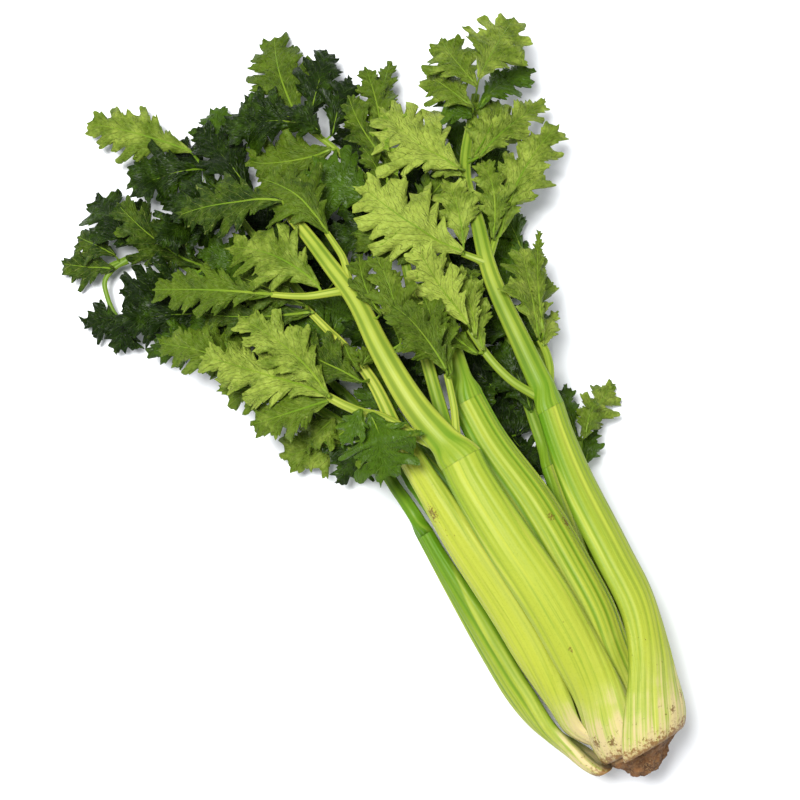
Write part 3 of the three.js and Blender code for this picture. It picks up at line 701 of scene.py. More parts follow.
@lru_cache(maxsize=None)
def slab_triangles(columns: int, rows: int) -> np.ndarray:
    """Splits a closed slab into triangles: its front, its back and the walls round its edge.

    Args:
        columns: how many faces wide it is.
        rows: how many faces long it is.

    Returns:
        Three vertex numbers a row.
    """
    front = sheet_triangles(columns, rows)
    count = (columns + 1) * (rows + 1)
    edges = {(int(face[k]), int(face[(k + 1) % 3])) for face in front for k in range(3)}
    walls = []
    for start, end in sorted(edges):
        if (end, start) not in edges:
            walls += [(end, start, start + count), (end, start + count, end + count)]
    return np.vstack([front, front[:, ::-1] + count, np.array(walls)])


SHARP_ANGLE = 55  # degrees between two faces, past which their edge stays sharp


# ---------------------------------------------------------------- modelling by hand
def deselect() -> None:
    """Clears the selection, so that the next operator acts on its own object alone."""
    bpy.ops.object.select_all(action="DESELECT")


def pick(piece: Piece) -> None:
    """Selects one piece alone and makes it the active one.

    Args:
        piece: the piece to select.
    """
    deselect()
    piece.select_set(True)
    bpy.context.view_layer.objects.active = piece


def rename(piece: Piece, name: str) -> None:
    """Names a piece and its mesh."""
    piece.name = name
    piece.data.name = name


def vertex_places(piece: Piece) -> np.ndarray:
    """Reads a piece's vertices.

    Args:
        piece: the piece to read.

    Returns:
        One vertex a row.
    """
    places = np.empty(len(piece.data.vertices) * 3)
    piece.data.vertices.foreach_get("co", places)
    return places.reshape(-1, 3)


def move_vertices(piece: Piece, places: np.ndarray) -> None:
    """Moves a piece's vertices to places in metres."""
    piece.data.vertices.foreach_set("co", places.ravel())
    piece.data.update()


def set_share(piece: Piece, name: str, share: Values) -> None:
    """Writes a number from 0 to 1 for each vertex, for the materials."""
    values = np.broadcast_to(share, len(piece.data.vertices)).astype(np.float32)
    piece.data.attributes.new(name, "FLOAT", "POINT").data.foreach_set("value", values)


def mark(
    piece: Piece, across: Values, along: Values, tint: Values, crest: Values = 0.0
) -> None:
    """Writes how each vertex has grown, for the materials.

    Args:
        piece: the piece to mark.
        across: how far each vertex is across the piece, in millimetres.
        along: how far each vertex is along it, in millimetres.
        tint: how dark and green it is, from 0 to 1.
        crest: where it is between a groove, 0, and the crest of a rib, 1.
    """
    count = len(piece.data.vertices)
    values = np.stack([np.broadcast_to(value, count) for value in (across, along, tint)], axis=1)
    growth = piece.data.attributes.new("growth", "FLOAT_VECTOR", "POINT")
    growth.data.foreach_set("vector", values.astype(np.float32).ravel())
    set_share(piece, "crest", crest)


def add_sheet(columns: int, rows: int) -> tuple[Piece, np.ndarray, np.ndarray]:
    """Adds a flat sheet of faces.

    Args:
        columns: how many faces wide it is.
        rows: how many faces long it is.

    Returns:
        The sheet and each vertex's column and row number.
    """
    deselect()
    bpy.ops.mesh.primitive_grid_add(x_subdivisions=columns, y_subdivisions=rows, size=1)
    sheet = bpy.context.object
    places = vertex_places(sheet)
    column = np.rint((places[:, 0] + 0.5) * columns).astype(int)
    row = np.rint((places[:, 1] + 0.5) * rows).astype(int)
    return sheet, column, row


def add_rings(sides: int, rings: int) -> tuple[Piece, np.ndarray, np.ndarray]:
    """Adds a ball whose rings are to be strung along a route.

    Args:
        sides: how many faces go round it.
        rings: how many rings of faces it has, with its two ends among them.

    Returns:
        The ball, each vertex's turn round it, in radians, and its ring number.
    """
    deselect()
    bpy.ops.mesh.primitive_uv_sphere_add(segments=sides, ring_count=rings, radius=1)
    ball = bpy.context.object
    places = vertex_places(ball)
    turn = np.mod(np.arctan2(places[:, 1], places[:, 0]), 2 * math.pi)
    ring = np.rint((1 - np.arccos(np.clip(places[:, 2], -1, 1)) / math.pi) * rings).astype(int)
    return ball, turn, ring


def along_rings(ring: np.ndarray, rings: int) -> tuple[np.ndarray, np.ndarray]:
    """Tells where each ring stands.

    Args:
        ring: each vertex's ring number.
        rings: how many rings there are.

    Returns:
        Each vertex's share of the route, and 0 for the two end points or 1 for the rest.
    """
    share = np.clip((ring - 1) / (rings - 2), 0, 1)
    body = np.where((ring == 0) | (ring == rings), 0.0, 1.0)
    return share, body


def join(pieces: list[Piece], name: str) -> Piece:
    """Joins pieces into the first one.

    Args:
        pieces: what to join.
        name: the name of the whole.

    Returns:
        The joined piece.
    """
    deselect()
    for piece in pieces:
        piece.select_set(True)
    bpy.context.view_layer.objects.active = pieces[0]
    if len(pieces) > 1:
        bpy.ops.object.join()
    whole = bpy.context.object
    rename(whole, name)
    return whole


def thicken(piece: Piece, thickness: float) -> None:
    """Gives a sheet its thickness; its lower side takes the next material of the list.

    Args:
        piece: the sheet.
        thickness: in metres.
    """
    pick(piece)
    slab = piece.modifiers.new("thickness", "SOLIDIFY")
    slab.thickness = thickness
    slab.offset = 0
    slab.material_offset = 1
    bpy.ops.object.modifier_apply(modifier=slab.name)


def smooth(piece: Piece) -> None:
    """Shades a piece smooth, but leaves its sharp edges sharp."""
    pick(piece)
    bpy.ops.object.shade_smooth_by_angle(angle=math.radians(SHARP_ANGLE))


# ---------------------------------------------------------------- stalks
@dataclass
class Petiole:
    """One ribbed stalk: a channel bent round the heart of the head."""

    plan: StalkPlan
    growth: Growth
    bruises: tuple[Bruise, ...]
    sides: int = 120
    rings: int = 72
    crowding: float = 1.25  # draws the rings to the foot, where it curls in
    ribs_per_rib: float = 2.0  # fine ribs for each one of the solid
    rib_wander: float = 0.35
    curl_length: float = 13.0  # the stretch at the foot that curls in to the crown, millimetres
    curl_depth: float = 3.6
    foot_reach: float = 28.0  # the stretch over which its foot is wider
    colour_foot: float = 60.0  # the stretch at the foot that is coloured by its true length
    inside_shift: float = 50.0  # sets the strings of its inner side apart from those of its back
    spread: float = 0.05  # how much wider its thin edges make it

    def __post_init__(self) -> None:
        """Lays the route from the butt to the joint."""
        base = self.plan.base
        angle = math.radians(base.angle)
        foot = (
            BUTT[0] + math.sin(angle) * base.ring,
            BUTT[1] + (OUTER_RING - base.ring) * FOOT_SETBACK,
            BUTT[2] + math.cos(angle) * base.ring,
        )
        self.curve = Curve((foot, *self.plan.route))

    def width_at(self, along: np.ndarray) -> np.ndarray:
        """Gives the full width at shares of the length."""
        opened = mix(self.plan.base.width, self.plan.width, ease(along, 0, BASE_CURVE))
        return mix(opened, self.plan.joint, ease(along, TOP_TAPER, 1))

    def skin(self, across: np.ndarray, along: np.ndarray, reach: np.ndarray) -> np.ndarray:
        """Gives points of the channel.

        Args:
            across: from -1 at its left edge to 1 at its right one.
            along: share of its length.
            reach: how far the point stands out of the middle of the wall, towards its back.

        Returns:
            One point a row, in layout millimetres.
        """
        plan, base = self.plan, self.plan.base
        opened = ease(along, 0, BASE_CURVE)
        middle = self.curve.at(along)
        angle = np.radians(mix(base.angle, plan.facing, opened))
        width = self.width_at(along)
        radius = mix(max(base.ring, base.width * BACK_BEND), width * BACK_BEND, opened)
        bend = across * np.arcsin(width / (2 * radius))
        out = (radius + reach) * np.cos(bend) - radius
        side = (radius + reach) * np.sin(bend)
        x = middle[:, 0] + np.sin(angle) * out + np.cos(angle) * side
        z = middle[:, 2] + np.cos(angle) * out - np.sin(angle) * side
        return np.stack([x, middle[:, 1], np.maximum(z, 0)], axis=1)

    def half_depth(self, across: np.ndarray, along: np.ndarray) -> np.ndarray:
        """Gives half the thickness of the wall, which thins to its edges."""
        depth = mix(self.plan.base.thickness, self.plan.thickness, ease(along, 0, BASE_CURVE))
        return depth / 2 * (1 - EDGE_THINNING * across**4)

    def solid(self) -> tuple[np.ndarray, np.ndarray]:
        """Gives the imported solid's plain slab.

        Returns:
            Its points and its triangles.
        """
        columns = self.plan.ribs * 2
        rows = STALK_ROWS if self.plan.ribs > FEW_RIBS else SMALL_STALK_ROWS
        row, column = np.mgrid[0 : rows + 1, 0 : columns + 1]
        across = (column.ravel() / columns) * 2 - 1
        along = 1 - row.ravel() / rows
        half = self.half_depth(across, along)
        rib = RIB_HEIGHT / 2 * (1 - np.cos(math.pi * column.ravel()))
        front = self.skin(across, along, half + rib)
        back = self.skin(across, along, -half)
        return np.vstack([front, back]), slab_triangles(columns, rows)

    def crest(self, across: np.ndarray, along: np.ndarray) -> np.ndarray:
        """Gives how high the ribs stand on the back.

        Args:
            across: from -1 at its left edge to 1 at its right one.
            along: share of its length.

        Returns:
            From 0 in a groove to 1 on a crest.
        """
        count = self.plan.ribs * self.ribs_per_rib
        wander = self.rib_wander * np.sin(along * 5 + self.plan.facing)
        fine = 0.5 - 0.5 * np.cos(math.pi * (count * (across + 1) + wander))
        coarse = 0.5 - 0.5 * np.cos(math.pi * self.plan.ribs * (across + 1))
        return 0.6 * fine + 0.4 * coarse

    def section(self, turn: np.ndarray, along: np.ndarray) -> tuple[np.ndarray, np.ndarray, np.ndarray]:
        """Goes round the wall of the channel.

        Args:
            turn: from 0 at its left edge over its back to its right edge, and back inside it.
            along: share of its length.

        Returns:
            How far across each point is, from -1 to 1, how far it stands out, and its crest.
        """
        on_back = turn <= math.pi
        across = np.where(on_back, -np.cos(turn), np.cos(turn - math.pi))
        rounding = np.sqrt(np.clip(1 - np.abs(across) ** 14, 0, 1))
        half = self.half_depth(across, along) * rounding
        crest = np.where(on_back, self.crest(across, along), 0.35) * rounding
        rib = RIB_HEIGHT * crest * mix(0.35, 1, self.growth.ribs) * on_back
        return across, np.where(on_back, half + rib, -half), crest

    def hurt(self, across: np.ndarray, along: np.ndarray) -> np.ndarray:
        """Tells how bruised the back is.

        Args:
            across: from -1 at its left edge to 1 at its right one.
            along: share of its length.

        Returns:
            From 0 where it is sound to 1 in the middle of a bruise.
        """
        hurt = np.zeros(len(across))
        half = self.width_at(along) / 2
        length = along * self.curve.length
        for bruise in self.bruises:
            wide = (across - bruise.across) * half * 1.6
            away = np.hypot(wide, (length - bruise.height) * 0.7)  # a bruise is longer than it is wide
            hurt = np.maximum(hurt, np.exp(-((away / bruise.size) ** 2)))
        return hurt

    def age(self, length: np.ndarray) -> np.ndarray:
        """Stretches the length above the foot, so that every stalk is as old at its joint.

        Args:
            length: how far up the stalk each point is, millimetres.

        Returns:
            How far up it counts as grown.
        """
        foot = self.colour_foot
        stretched = foot + (length - foot) * (STEM_AGE - foot) / (self.curve.length - foot)
        return np.where(length < foot, length, stretched)

    def build(self, shift: np.ndarray, material: Material) -> Piece:
        """Models the fine stalk.

        Args:
            shift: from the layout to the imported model, millimetres.
            material: its finish.

        Returns:
            The finished piece.
        """
        growth = self.growth
        piece, turn, ring = add_rings(self.sides, self.rings)
        share, body = along_rings(ring, self.rings)
        along = mix(share, share**self.crowding, 0.7)
        across, reach, crest = self.section(turn, along)
        length = along * self.curve.length
        curl = 1 - np.clip(length / self.curl_length, 0, 1)
        tuck = self.curl_depth * (1 - np.sqrt(1 - curl**2 * 0.98))
        spread = 1 + self.spread + growth.foot * np.exp(-((length / self.foot_reach) ** 2))
        places = self.skin(across * body * spread, along, reach * body - tuck)
        move_vertices(piece, (places + shift) * MM)
        inside = turn > math.pi
        tint = np.clip(growth.green + growth.edges * (np.abs(across) ** 3 - 0.3), 0, 1)
        string = across * self.width_at(along) / 2 + self.inside_shift * inside
        # the crest share tells the finish where to paint the shade of the grooves
        mark(piece, string, self.age(length), tint, 1 - growth.ribs * (1 - crest))
        set_share(piece, "hurt", self.hurt(across, along) * ~inside)
        piece.data.materials.append(material)
        smooth(piece)
        rename(piece, f"celery_stalk_{self.plan.name}")
        return piece


# ---------------------------------------------------------------- leaf stems
@dataclass
class LeafStem:
    """A stem of a leafy top, of oval section."""

    plan: StemPlan
    curve: Curve
    joint: float  # y of the stalk's end, behind which nothing of the solid lies
    stalk: Petiole | None  # the stalk that the main stem goes on from
    tint: float
    sides: int = 14
    ring_step: float = 2.2
    grooves: int = 6
    groove_share: float = 0.06  # depth of its grooves against its half width
    flare: float = 0.5  # how much wider a side stem is where it parts from its stem
    flare_reach: float = 3.0
    merging: float = 13.0  # the stretch over which the stalk's section turns into its own

    @staticmethod
    def lifted(plan: StemPlan, pile: Pile) -> Curve:
        """Lifts a stem's route over what it crosses, but leaves its first point where it grows.

        Args:
            plan: the stem.
            pile: what lies there already.

        Returns:
            The route that it takes.
        """
        route = Curve(plan.route)
        count = max(4, math.floor(route.length / STEM_STATION + 0.5))
        points = route.at(np.arange(count + 1) / count)
        turns = np.arange(STEM_FEELERS) * 2 * math.pi / STEM_FEELERS
        for i in range(1, count + 1):
            half = mix(plan.start, plan.end, i / count) / 2
            feelers = points[i, :2] + np.stack([np.cos(turns), np.sin(turns)], axis=1) * half
            highest = pile.wide_laid[pile.cells(feelers)].max()
            points[i, 2] = max(points[i, 2], highest + half * STEM_FLATNESS + NODE_GAP * 2)
        return Curve(points)

    def width_at(self, along: np.ndarray) -> np.ndarray:
        """Gives the full width at shares of the length."""
        return mix(self.plan.start, self.plan.end, np.clip(along, 0, 1) ** STEM_TAPER)

    def frame(self, along: np.ndarray) -> tuple[np.ndarray, np.ndarray, np.ndarray]:
        """Gives the section's place.

        Args:
            along: share of its length.

        Returns:
            Its middle, its level side and its upper side.
        """
        ahead = self.curve.heading(along)
        side = unit(np.cross(ahead, (0.0, 0.0, 1.0)))
        return self.curve.at(along), side, np.cross(side, ahead)

    def solid(self) -> tuple[np.ndarray, np.ndarray]:
        """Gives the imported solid's plain tube.

        Returns:
            Its points and its triangles.
        """
        steps = max(2, math.floor(self.curve.length / STEM_STEP + 0.5))
        sides = 8 if self.plan.start > THICK_STEM else 6
        ring, place = np.mgrid[0 : steps + 1, 0:sides]
        along = 1 - ring.ravel() / steps
        turn = place.ravel() / sides * 2 * math.pi
        middle, side, above = self.frame(along)
        half = self.width_at(along)[:, None] / 2
        points = middle + side * np.sin(turn)[:, None] * half
        points += above * np.cos(turn)[:, None] * half * STEM_FLATNESS
        points[:, 1] = np.maximum(points[:, 1], self.joint)
        triangles = []
        for row in range(steps):
            for place in range(sides):
                a, d = row * sides + place, row * sides + (place + 1) % sides
                triangles += [(a, a + sides, d), (a + sides, d + sides, d)]
        return points, np.array(triangles)

    def build(self, shift: np.ndarray, materials: list[Material]) -> Piece:
        """Models the fine stem, which grows out of its stalk's last section if it is the main one.

        Args:
            shift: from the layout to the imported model, millimetres.
            materials: the leafy top's finishes, of which the last is the stem's.

        Returns:
            The stem.
        """
        stalk = self.stalk
        rings = 2 + max(6, round(self.curve.length / self.ring_step))
        piece, turn, ring = add_rings(stalk.sides if stalk else self.sides, rings)
        along, body = along_rings(ring, rings)
        walked = along * self.curve.length
        middle, side, above = self.frame(along)
        turned = turn + (math.radians(stalk.plan.facing) if stalk else 0)
        groove = 0.5 - 0.5 * np.cos(turned * self.grooves + 0.6)
        half = self.width_at(along) / 2
        if not stalk:
            half = half * (1 + self.flare * np.exp(-((walked / self.flare_reach) ** 2)))
        half = half * (1 - self.groove_share * (1 - groove))
        level, raised = -np.cos(turned) * half, np.sin(turned) * half * STEM_FLATNESS
        if stalk:
            ends = np.ones(len(turn))
            across, reach, crest = stalk.section(turn, ends)
            joint = stalk.skin(across * (1 + stalk.spread), ends, reach) - stalk.curve.at(ends)
            apart = ease(walked, JOINT_GAP, self.merging)
            level, raised = mix(joint[:, 0], level, apart), mix(joint[:, 2], raised, apart)
            groove = mix(1 - stalk.growth.ribs * (1 - crest), groove, apart)
            turning = ease(walked, 0, self.merging + 1)[:, None]
            side = unit(mix(np.array((1.0, 0.0, 0.0)), side, turning))
            above = unit(mix(np.array((0.0, 0.0, 1.0)), above, turning))
        places = middle + side * (level * body)[:, None] + above * (raised * body)[:, None]
        places[:, 1] = np.maximum(places[:, 1], self.joint)
        if stalk:
            places[:, 1] -= JOINT_GAP * (1 - ease(walked, 0, self.flare_reach))
        move_vertices(piece, (places + shift) * MM)
        around = turn / (2 * math.pi) * self.plan.start * 3
        # the groove share tells the finish where to paint the shade of the grooves
        mark(piece, around, (STEM_AGE if stalk else SIDE_STEM_AGE) + walked, self.tint, groove)
        self.dress(piece, materials)
        return piece

    @staticmethod
    def dress(piece: Piece, materials: list[Material]) -> None:
        """Gives a stem or midrib the last of the leafy top's finishes.

        Args:
            piece: the stem or midrib.
            materials: the leafy top's finishes.
        """
        for material in materials:
            piece.data.materials.append(material)
        last = np.full(len(piece.data.polygons), len(materials) - 1)
        piece.data.polygons.foreach_set("material_index", last)


# ---------------------------------------------------------------- leaflets
def through(rows: np.ndarray, row: np.ndarray) -> np.ndarray:
    """Runs a smooth line through points that stand at whole rows.

    Args:
        rows: one point a row.
        row: where along them to look.

    Returns:
        The points there.
    """
    last = len(rows) - 1
    padded = np.vstack([2 * rows[0] - rows[1], rows, 2 * rows[-1] - rows[-2]])
    span = np.clip(row.astype(int), 0, last - 1)
    part = (row - span)[:, None]
    p0, p1, p2, p3 = (padded[span + k] for k in range(4))
    bent = p1 + part / 2 * (
        p2 - p0 + part * (2 * p0 - 5 * p1 + 4 * p2 - p3 + part * (3 * (p1 - p2) + p3 - p0))
    )
    straight = mix(p1, p2, part)
    return mix(straight, bent, 0.8)


@dataclass
class Blade:
    """One leaflet: a toothed, lobed sheet with a midrib, laid on the pile."""

    leaflet: Leaflet
    plan: StalkPlan
    seed: int
    shows: Side
    # tint: the leaflet's own darkness, with painted shade where it lies low in the pile
    tint: float
    full_length: float = 34.0  # from which on its lobes and teeth have their full size, millimetres
    lobe_pitch: float = 11.0  # along the margin
    lobe_share: float = 0.56  # depth of the notches against the half width
    tooth_pitch: float = 3.3
    tooth_depth: float = 2.3
    tooth_peak: float = 0.7  # share of a tooth at which its point stands
    bare_share: float = 0.12  # share of the margin at its foot that has no teeth
    row_step: float = 0.6  # length of a face along the margin
    clear: float = 0.3  # least height over what the head lies on
    quilting: float = 0.55  # height of the folds between its veins
    ruffle: float = 2.3  # height of the waves of its margin
    ruffle_turn: float = 0.42  # radians of them for each millimetre
    arching: float = 0.5
    rib_sides: int = 6
    rib_step: float = 2.5
    rib_end: float = 0.97  # share of the midrib's line at which it ends
    # shares of the half width at which the sheet has vertices; the midrib is at 0
    stations: tuple[float, ...] = (-1, -0.9, -0.74, -0.54, -0.34, -0.15, 0, 0.15, 0.34, 0.54, 0.74, 0.9, 1)

    def root(self, curves: list[Curve]) -> np.ndarray:
        """Finds where the leaflet is rooted.

        Args:
            curves: the routes of the leaf's stems.

        Returns:
            A place inside one of them.
        """
        stations = np.arange(ROOT_STATIONS) / ROOT_STATIONS
        points = np.vstack([curve.at(stations) for curve in curves])
        nearest = np.hypot(points[:, 0] - self.leaflet[0], points[:, 1] - self.leaflet[1]).argmin()
        uneven = [ROOT_PLAY * (draw(self.seed + 0.17 * (k + 1)) - 0.5) for k in range(3)]
        return points[nearest] + uneven

    def lay(self, curves: list[Curve], pile: Pile) -> None:
        """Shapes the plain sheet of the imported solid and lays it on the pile.

        Args:
            curves: the routes of the leaf's stems.
            pile: what lies there already.
        """
        foot_x, foot_y, tip_x, tip_y, width = self.leaflet
        root = self.root(curves)
        length = math.hypot(tip_x - foot_x, tip_y - foot_y)
        ahead = ((tip_x - foot_x) / length, (tip_y - foot_y) / length)
        droop = mix(*DROOP, draw(self.seed))
        fold = mix(*FOLD, draw(self.seed + 0.3))
        wave = mix(*WAVE, draw(self.seed + 0.6))
        sweep = (draw(self.seed + 0.9) - 0.5) * SWEEP * length
        outline = OUTLINE if length >= SMALL_LENGTH else SMALL_OUTLINE
        outline = outline if length >= TINY_LENGTH else TINY_OUTLINE
        self.length = length
        self.stalklet = 1 if math.hypot(root[0] - foot_x, root[1] - foot_y) < STALKLET_REACH else 2
        rows = len(outline) - 1 + self.stalklet
        points = []
        thickness = []
        for row in range(rows, -1, -1):
            for side in (-1, 0, 1):
                on_stalklet = row < self.stalklet
                edge, midrib, wide = outline[0] if on_stalklet else outline[row - self.stalklet]
                uneven = self.plan.fullness + UNEVEN * (draw(self.seed + row * 7 + side) - 0.5)
                out = side * max(LEAST_HALF_WIDTH, wide * width * 0.5 * uneven)
                along = midrib if side == 0 else edge
                bow = sweep * 4 * along * (1 - along)
                forward = along * length
                ripple = 0 if on_stalklet else side * wave * wide * math.sin(row * WAVE_TURN + self.seed)
                x = foot_x + ahead[0] * forward + ahead[1] * (out + bow)
                y = foot_y + ahead[1] * forward - ahead[0] * (out + bow)
                z = root[2] + RISE * forward - droop * length * along * along - fold * abs(out) + ripple
                if on_stalklet:
                    x += (root[0] - foot_x) * (1 - row / self.stalklet)
                    y += (root[1] - foot_y) * (1 - row / self.stalklet)
                points.append((x, y, z))
                thickness.append(STALKLET_THICKNESS if row <= self.stalklet else SOLID_BLADE)
        middle = np.array(points)
        self.triangles = sheet_triangles(2, rows)
        self.row_of = rows - np.arange(len(middle)) // 3
        offset = self.normals(middle) * np.array(thickness)[:, None] / 2
        rise = self.settle_on(middle - offset, middle + offset, pile, (foot_x, foot_y))
        middle[:, 2] += rise
        pile.stamp(middle + offset, self.triangles)
        self.sheet = middle.reshape(rows + 1, 3, 3)[::-1]

    def normals(self, points: np.ndarray) -> np.ndarray:
        """Gives the sheet's normals, each face counted by its area.

        Args:
            points: its points.

        Returns:
            One unit vector for each point.
        """
        corners = points[self.triangles]
        faces = np.cross(corners[:, 2] - corners[:, 1], corners[:, 0] - corners[:, 1])
        total = np.zeros_like(points)
        for k in range(3):
            np.add.at(total, self.triangles[:, k], faces)
        return unit(total)

    def settle_on(
        self, back: np.ndarray, front: np.ndarray, pile: Pile, foot: tuple[float, float]
    ) -> np.ndarray:
        """Raises the sheet until its back clears all that it covers; its root stays in its stem.

        Args:
            back: points of its lower side.
            front: points of its upper side.
            pile: what lies there already.
            foot: where its blade begins.

        Returns:
            How far each point has risen.
        """
        start = back[:, 2].copy()
        back = back.copy()
        free = self.row_of > 0
        pile.look()
        for step in range(ROUNDS):
            raised = np.zeros(len(back))
            for corners in self.triangles:
                spots, weights = pile.sample(back[corners])
                cells = pile.cells(spots)
                top = pile.wide_laid[cells]
                if not (self.row_of[corners] < self.stalklet).any():
                    away = np.hypot(spots[:, 0] - foot[0], spots[:, 1] - foot[1]) > ROOT_REACH
                    top = np.where(away, np.maximum(top, pile.wide_own[cells]), top)
                need = top + NODE_GAP - spots[:, 2]
                need = np.where(need > 1e-3, need, 0)[:, None]
                if step > ROUNDS - WHOLE_ROUNDS:
                    share = np.ones_like(weights)
                else:
                    share = weights / (weights**2).sum(axis=1, keepdims=True)
                raised[corners] = np.maximum(raised[corners], (need * share).max(axis=0))
            back[:, 2] += raised * free
            self.flatten(back, front, start, free)
        return back[:, 2] - start

    def flatten(self, back: np.ndarray, front: np.ndarray, start: np.ndarray, free: np.ndarray) -> None:
        """Keeps the sheet from rising faster than its stiffness lets it.

        Args:
            back: points of its lower side, which are raised in place.
            front: points of its upper side as they were at first.
            start: heights of the lower side as they were at first.
            free: which points may rise.
        """
        height = front[:, 2] + back[:, 2] - start
        for corners in self.triangles:
            for k in range(3):
                corner, near = corners[k], corners[(k + 1) % 3]
                run = math.hypot(front[corner, 0] - front[near, 0], front[corner, 1] - front[near, 1])
                drop = height[corner] - height[near]
                for spot, excess in ((near, drop - STEEPEST * run), (corner, -drop - STEEPEST * run)):
                    if excess > 0 and free[spot]:
                        height[spot] += excess
                        back[spot, 2] += excess

    def fine_rows(self) -> tuple[np.ndarray, np.ndarray, np.ndarray]:
        """Gives the sheet's three lines, evenly stepped.

        Returns:
            The left margin, the midrib and the right margin.
        """
        last = len(self.sheet) - 1
        row = np.linspace(self.stalklet, last, 240)
        margins = (through(self.sheet[:, k], row) for k in (0, 2))
        steps = sum(np.linalg.norm(np.diff(line, axis=0), axis=1) for line in margins) / 2
        walked = np.concatenate([[0], np.cumsum(steps)])
        count = max(12, round(walked[-1] / self.row_step))
        row = np.interp(np.linspace(0, walked[-1], count + 1), walked, row)
        return tuple(through(self.sheet[:, k], row) for k in range(3))

    def teeth(self, margin: np.ndarray, middle: np.ndarray, side: int) -> np.ndarray:
        """Cuts lobes and teeth into a margin.

        Args:
            margin: the margin's line.
            middle: the midrib's line.
            side: -1 on the left, 1 on the right.

        Returns:
            How far each point of the margin moves.
        """
        heading = unit(np.gradient(margin, axis=0))
        walked = np.concatenate([[0], np.cumsum(np.linalg.norm(np.diff(margin, axis=0), axis=1))])
        share = walked / walked[-1]
        size = min(1, self.length / self.full_length)
        lobe, lobe_size = self.repeat(share, max(2, round(walked[-1] / (self.lobe_pitch * size))), side)
        tooth, tooth_size = self.repeat(share, max(6, round(walked[-1] / self.tooth_pitch)), side + 0.5)
        rounded, pointed = np.sin(math.pi * lobe**1.35) ** 0.7, 1 - np.abs(2 * lobe**1.2 - 1)
        reach = self.lobe_share * self.leaflet[4] / 2
        moved = (mix(rounded, pointed, 0.55) - 0.55) * lobe_size * reach
        peak = self.tooth_peak
        point = np.where(tooth < peak, tooth / peak, (1 - tooth) / (1 - peak)) - 0.5
        moved = moved + point * tooth_size * self.tooth_depth * mix(0.6, 1, size)
        moved = moved * ease(share, self.bare_share, self.bare_share + 0.12)
        outward = np.stack([heading[:, 1], -heading[:, 0], np.zeros(len(heading))], axis=1) * side
        direction = unit(outward * 0.6 + unit(margin - middle) * 0.5 + heading * 0.55)
        return direction * moved[:, None]

    def repeat(self, share: np.ndarray, count: int, number: float) -> tuple[np.ndarray, np.ndarray]:
        """Splits a margin into uneven lobes or teeth.

        Args:
            share: share of the margin's length.
            count: how many there are.
            number: tells one margin's lobes or teeth from the others'.

        Returns:
            For each point how far along its own lobe or tooth it is, and that one's size.
        """
        phase = share * count + 0.6 * draw(self.seed + number * 0.4)
        which = np.floor(phase)
        size = np.array([0.65 + 0.7 * draw(self.seed * 3 + n * 1.7 + number) for n in which])
        return phase - which, size

    def points(self) -> tuple[np.ndarray, np.ndarray]:
        """Gives the fine sheet.

        Returns:
            Its points and its growth marks, by row and station.
        """
        left, middle, right = self.fine_rows()
        ahead = unit((middle[-1] - middle[0])[None, :])[0]
        cut = {-1: self.teeth(left, middle, -1), 1: self.teeth(right, middle, 1)}
        columns = []
        marks = []
        for station in self.stations:
            side = -1 if station < 0 else 1
            margin = left if station < 0 else right
            out = abs(station)
            line = mix(middle, margin, out) + cut[side] * out**3
            across = np.linalg.norm((margin - middle)[:, :2], axis=1) * out
            along = (line - middle[0]) @ ahead
            phase = (along - VEIN_SLOPE * across) / VEIN_SPACING
            quilt = self.quilting * np.cos(2 * math.pi * phase) * math.sin(math.pi * min(1, out * 1.1))
            wave = np.sin(along * self.ruffle_turn + self.seed * 2.1 + side) * np.clip(across / 7, 0, 1)
            arch = self.arching * across * (1 - out)
            line[:, 2] += quilt + self.ruffle * out**2.5 * wave + arch
            line[:, 2] = np.maximum(line[:, 2], self.clear)
            columns.append(line)
            marks.append(np.stack([across * side, along], axis=1))
        return np.stack(columns, axis=1), np.stack(marks, axis=1)

    def build_sheet(self, shift: np.ndarray, materials: list[Material]) -> Piece:
        """Models the blade, still without thickness.

        Args:
            shift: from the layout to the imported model, millimetres.
            materials: the leafy top's finishes.

        Returns:
            The sheet.
        """
        places, marks = self.points()
        sheet, column, row = add_sheet(len(self.stations) - 1, len(places) - 1)
        move_vertices(sheet, (places[row, column] + shift) * MM)
        mark(sheet, *marks[row, column].T, self.tint)
        for material in materials:
            sheet.data.materials.append(material)
        top = np.full(len(sheet.data.polygons), self.shows.value)
        sheet.data.polygons.foreach_set("material_index", top)
        return sheet

    def build_midrib(self, shift: np.ndarray, materials: list[Material]) -> Piece:
        """Models the little stalk, which goes on as the midrib to near the tip.

        Args:
            shift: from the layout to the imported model, millimetres.
            materials: the leafy top's finishes.

        Returns:
            The midrib.
        """
        last = len(self.sheet) - 1
        rings = 2 + max(8, round(self.length / self.rib_step))
        piece, turn, ring = add_rings(self.rib_sides, rings)
        share, body = along_rings(ring, rings)
        curve = Curve(through(self.sheet[:, 1], np.linspace(0, last * self.rib_end, 60)))
        ahead = curve.heading(share)
        side = unit(np.cross(ahead, (0.0, 0.0, 1.0)))
        above = np.cross(side, ahead)
        thick = mix(0.38 + self.length * 0.01, 0.12, share**0.7)
        half = (thick * body)[:, None]
        proud = 0.18 if self.shows is Side.UNDER else -0.1
        places = curve.at(share) - side * np.cos(turn)[:, None] * half
        places += above * (np.sin(turn)[:, None] * half + proud)
        places[:, 2] = np.maximum(places[:, 2], self.clear / 2)
        move_vertices(piece, (places + shift) * MM)
        mark(piece, turn, SIDE_STEM_AGE + share * curve.length, 1.0, 0.6)
        LeafStem.dress(piece, materials)
        return piece


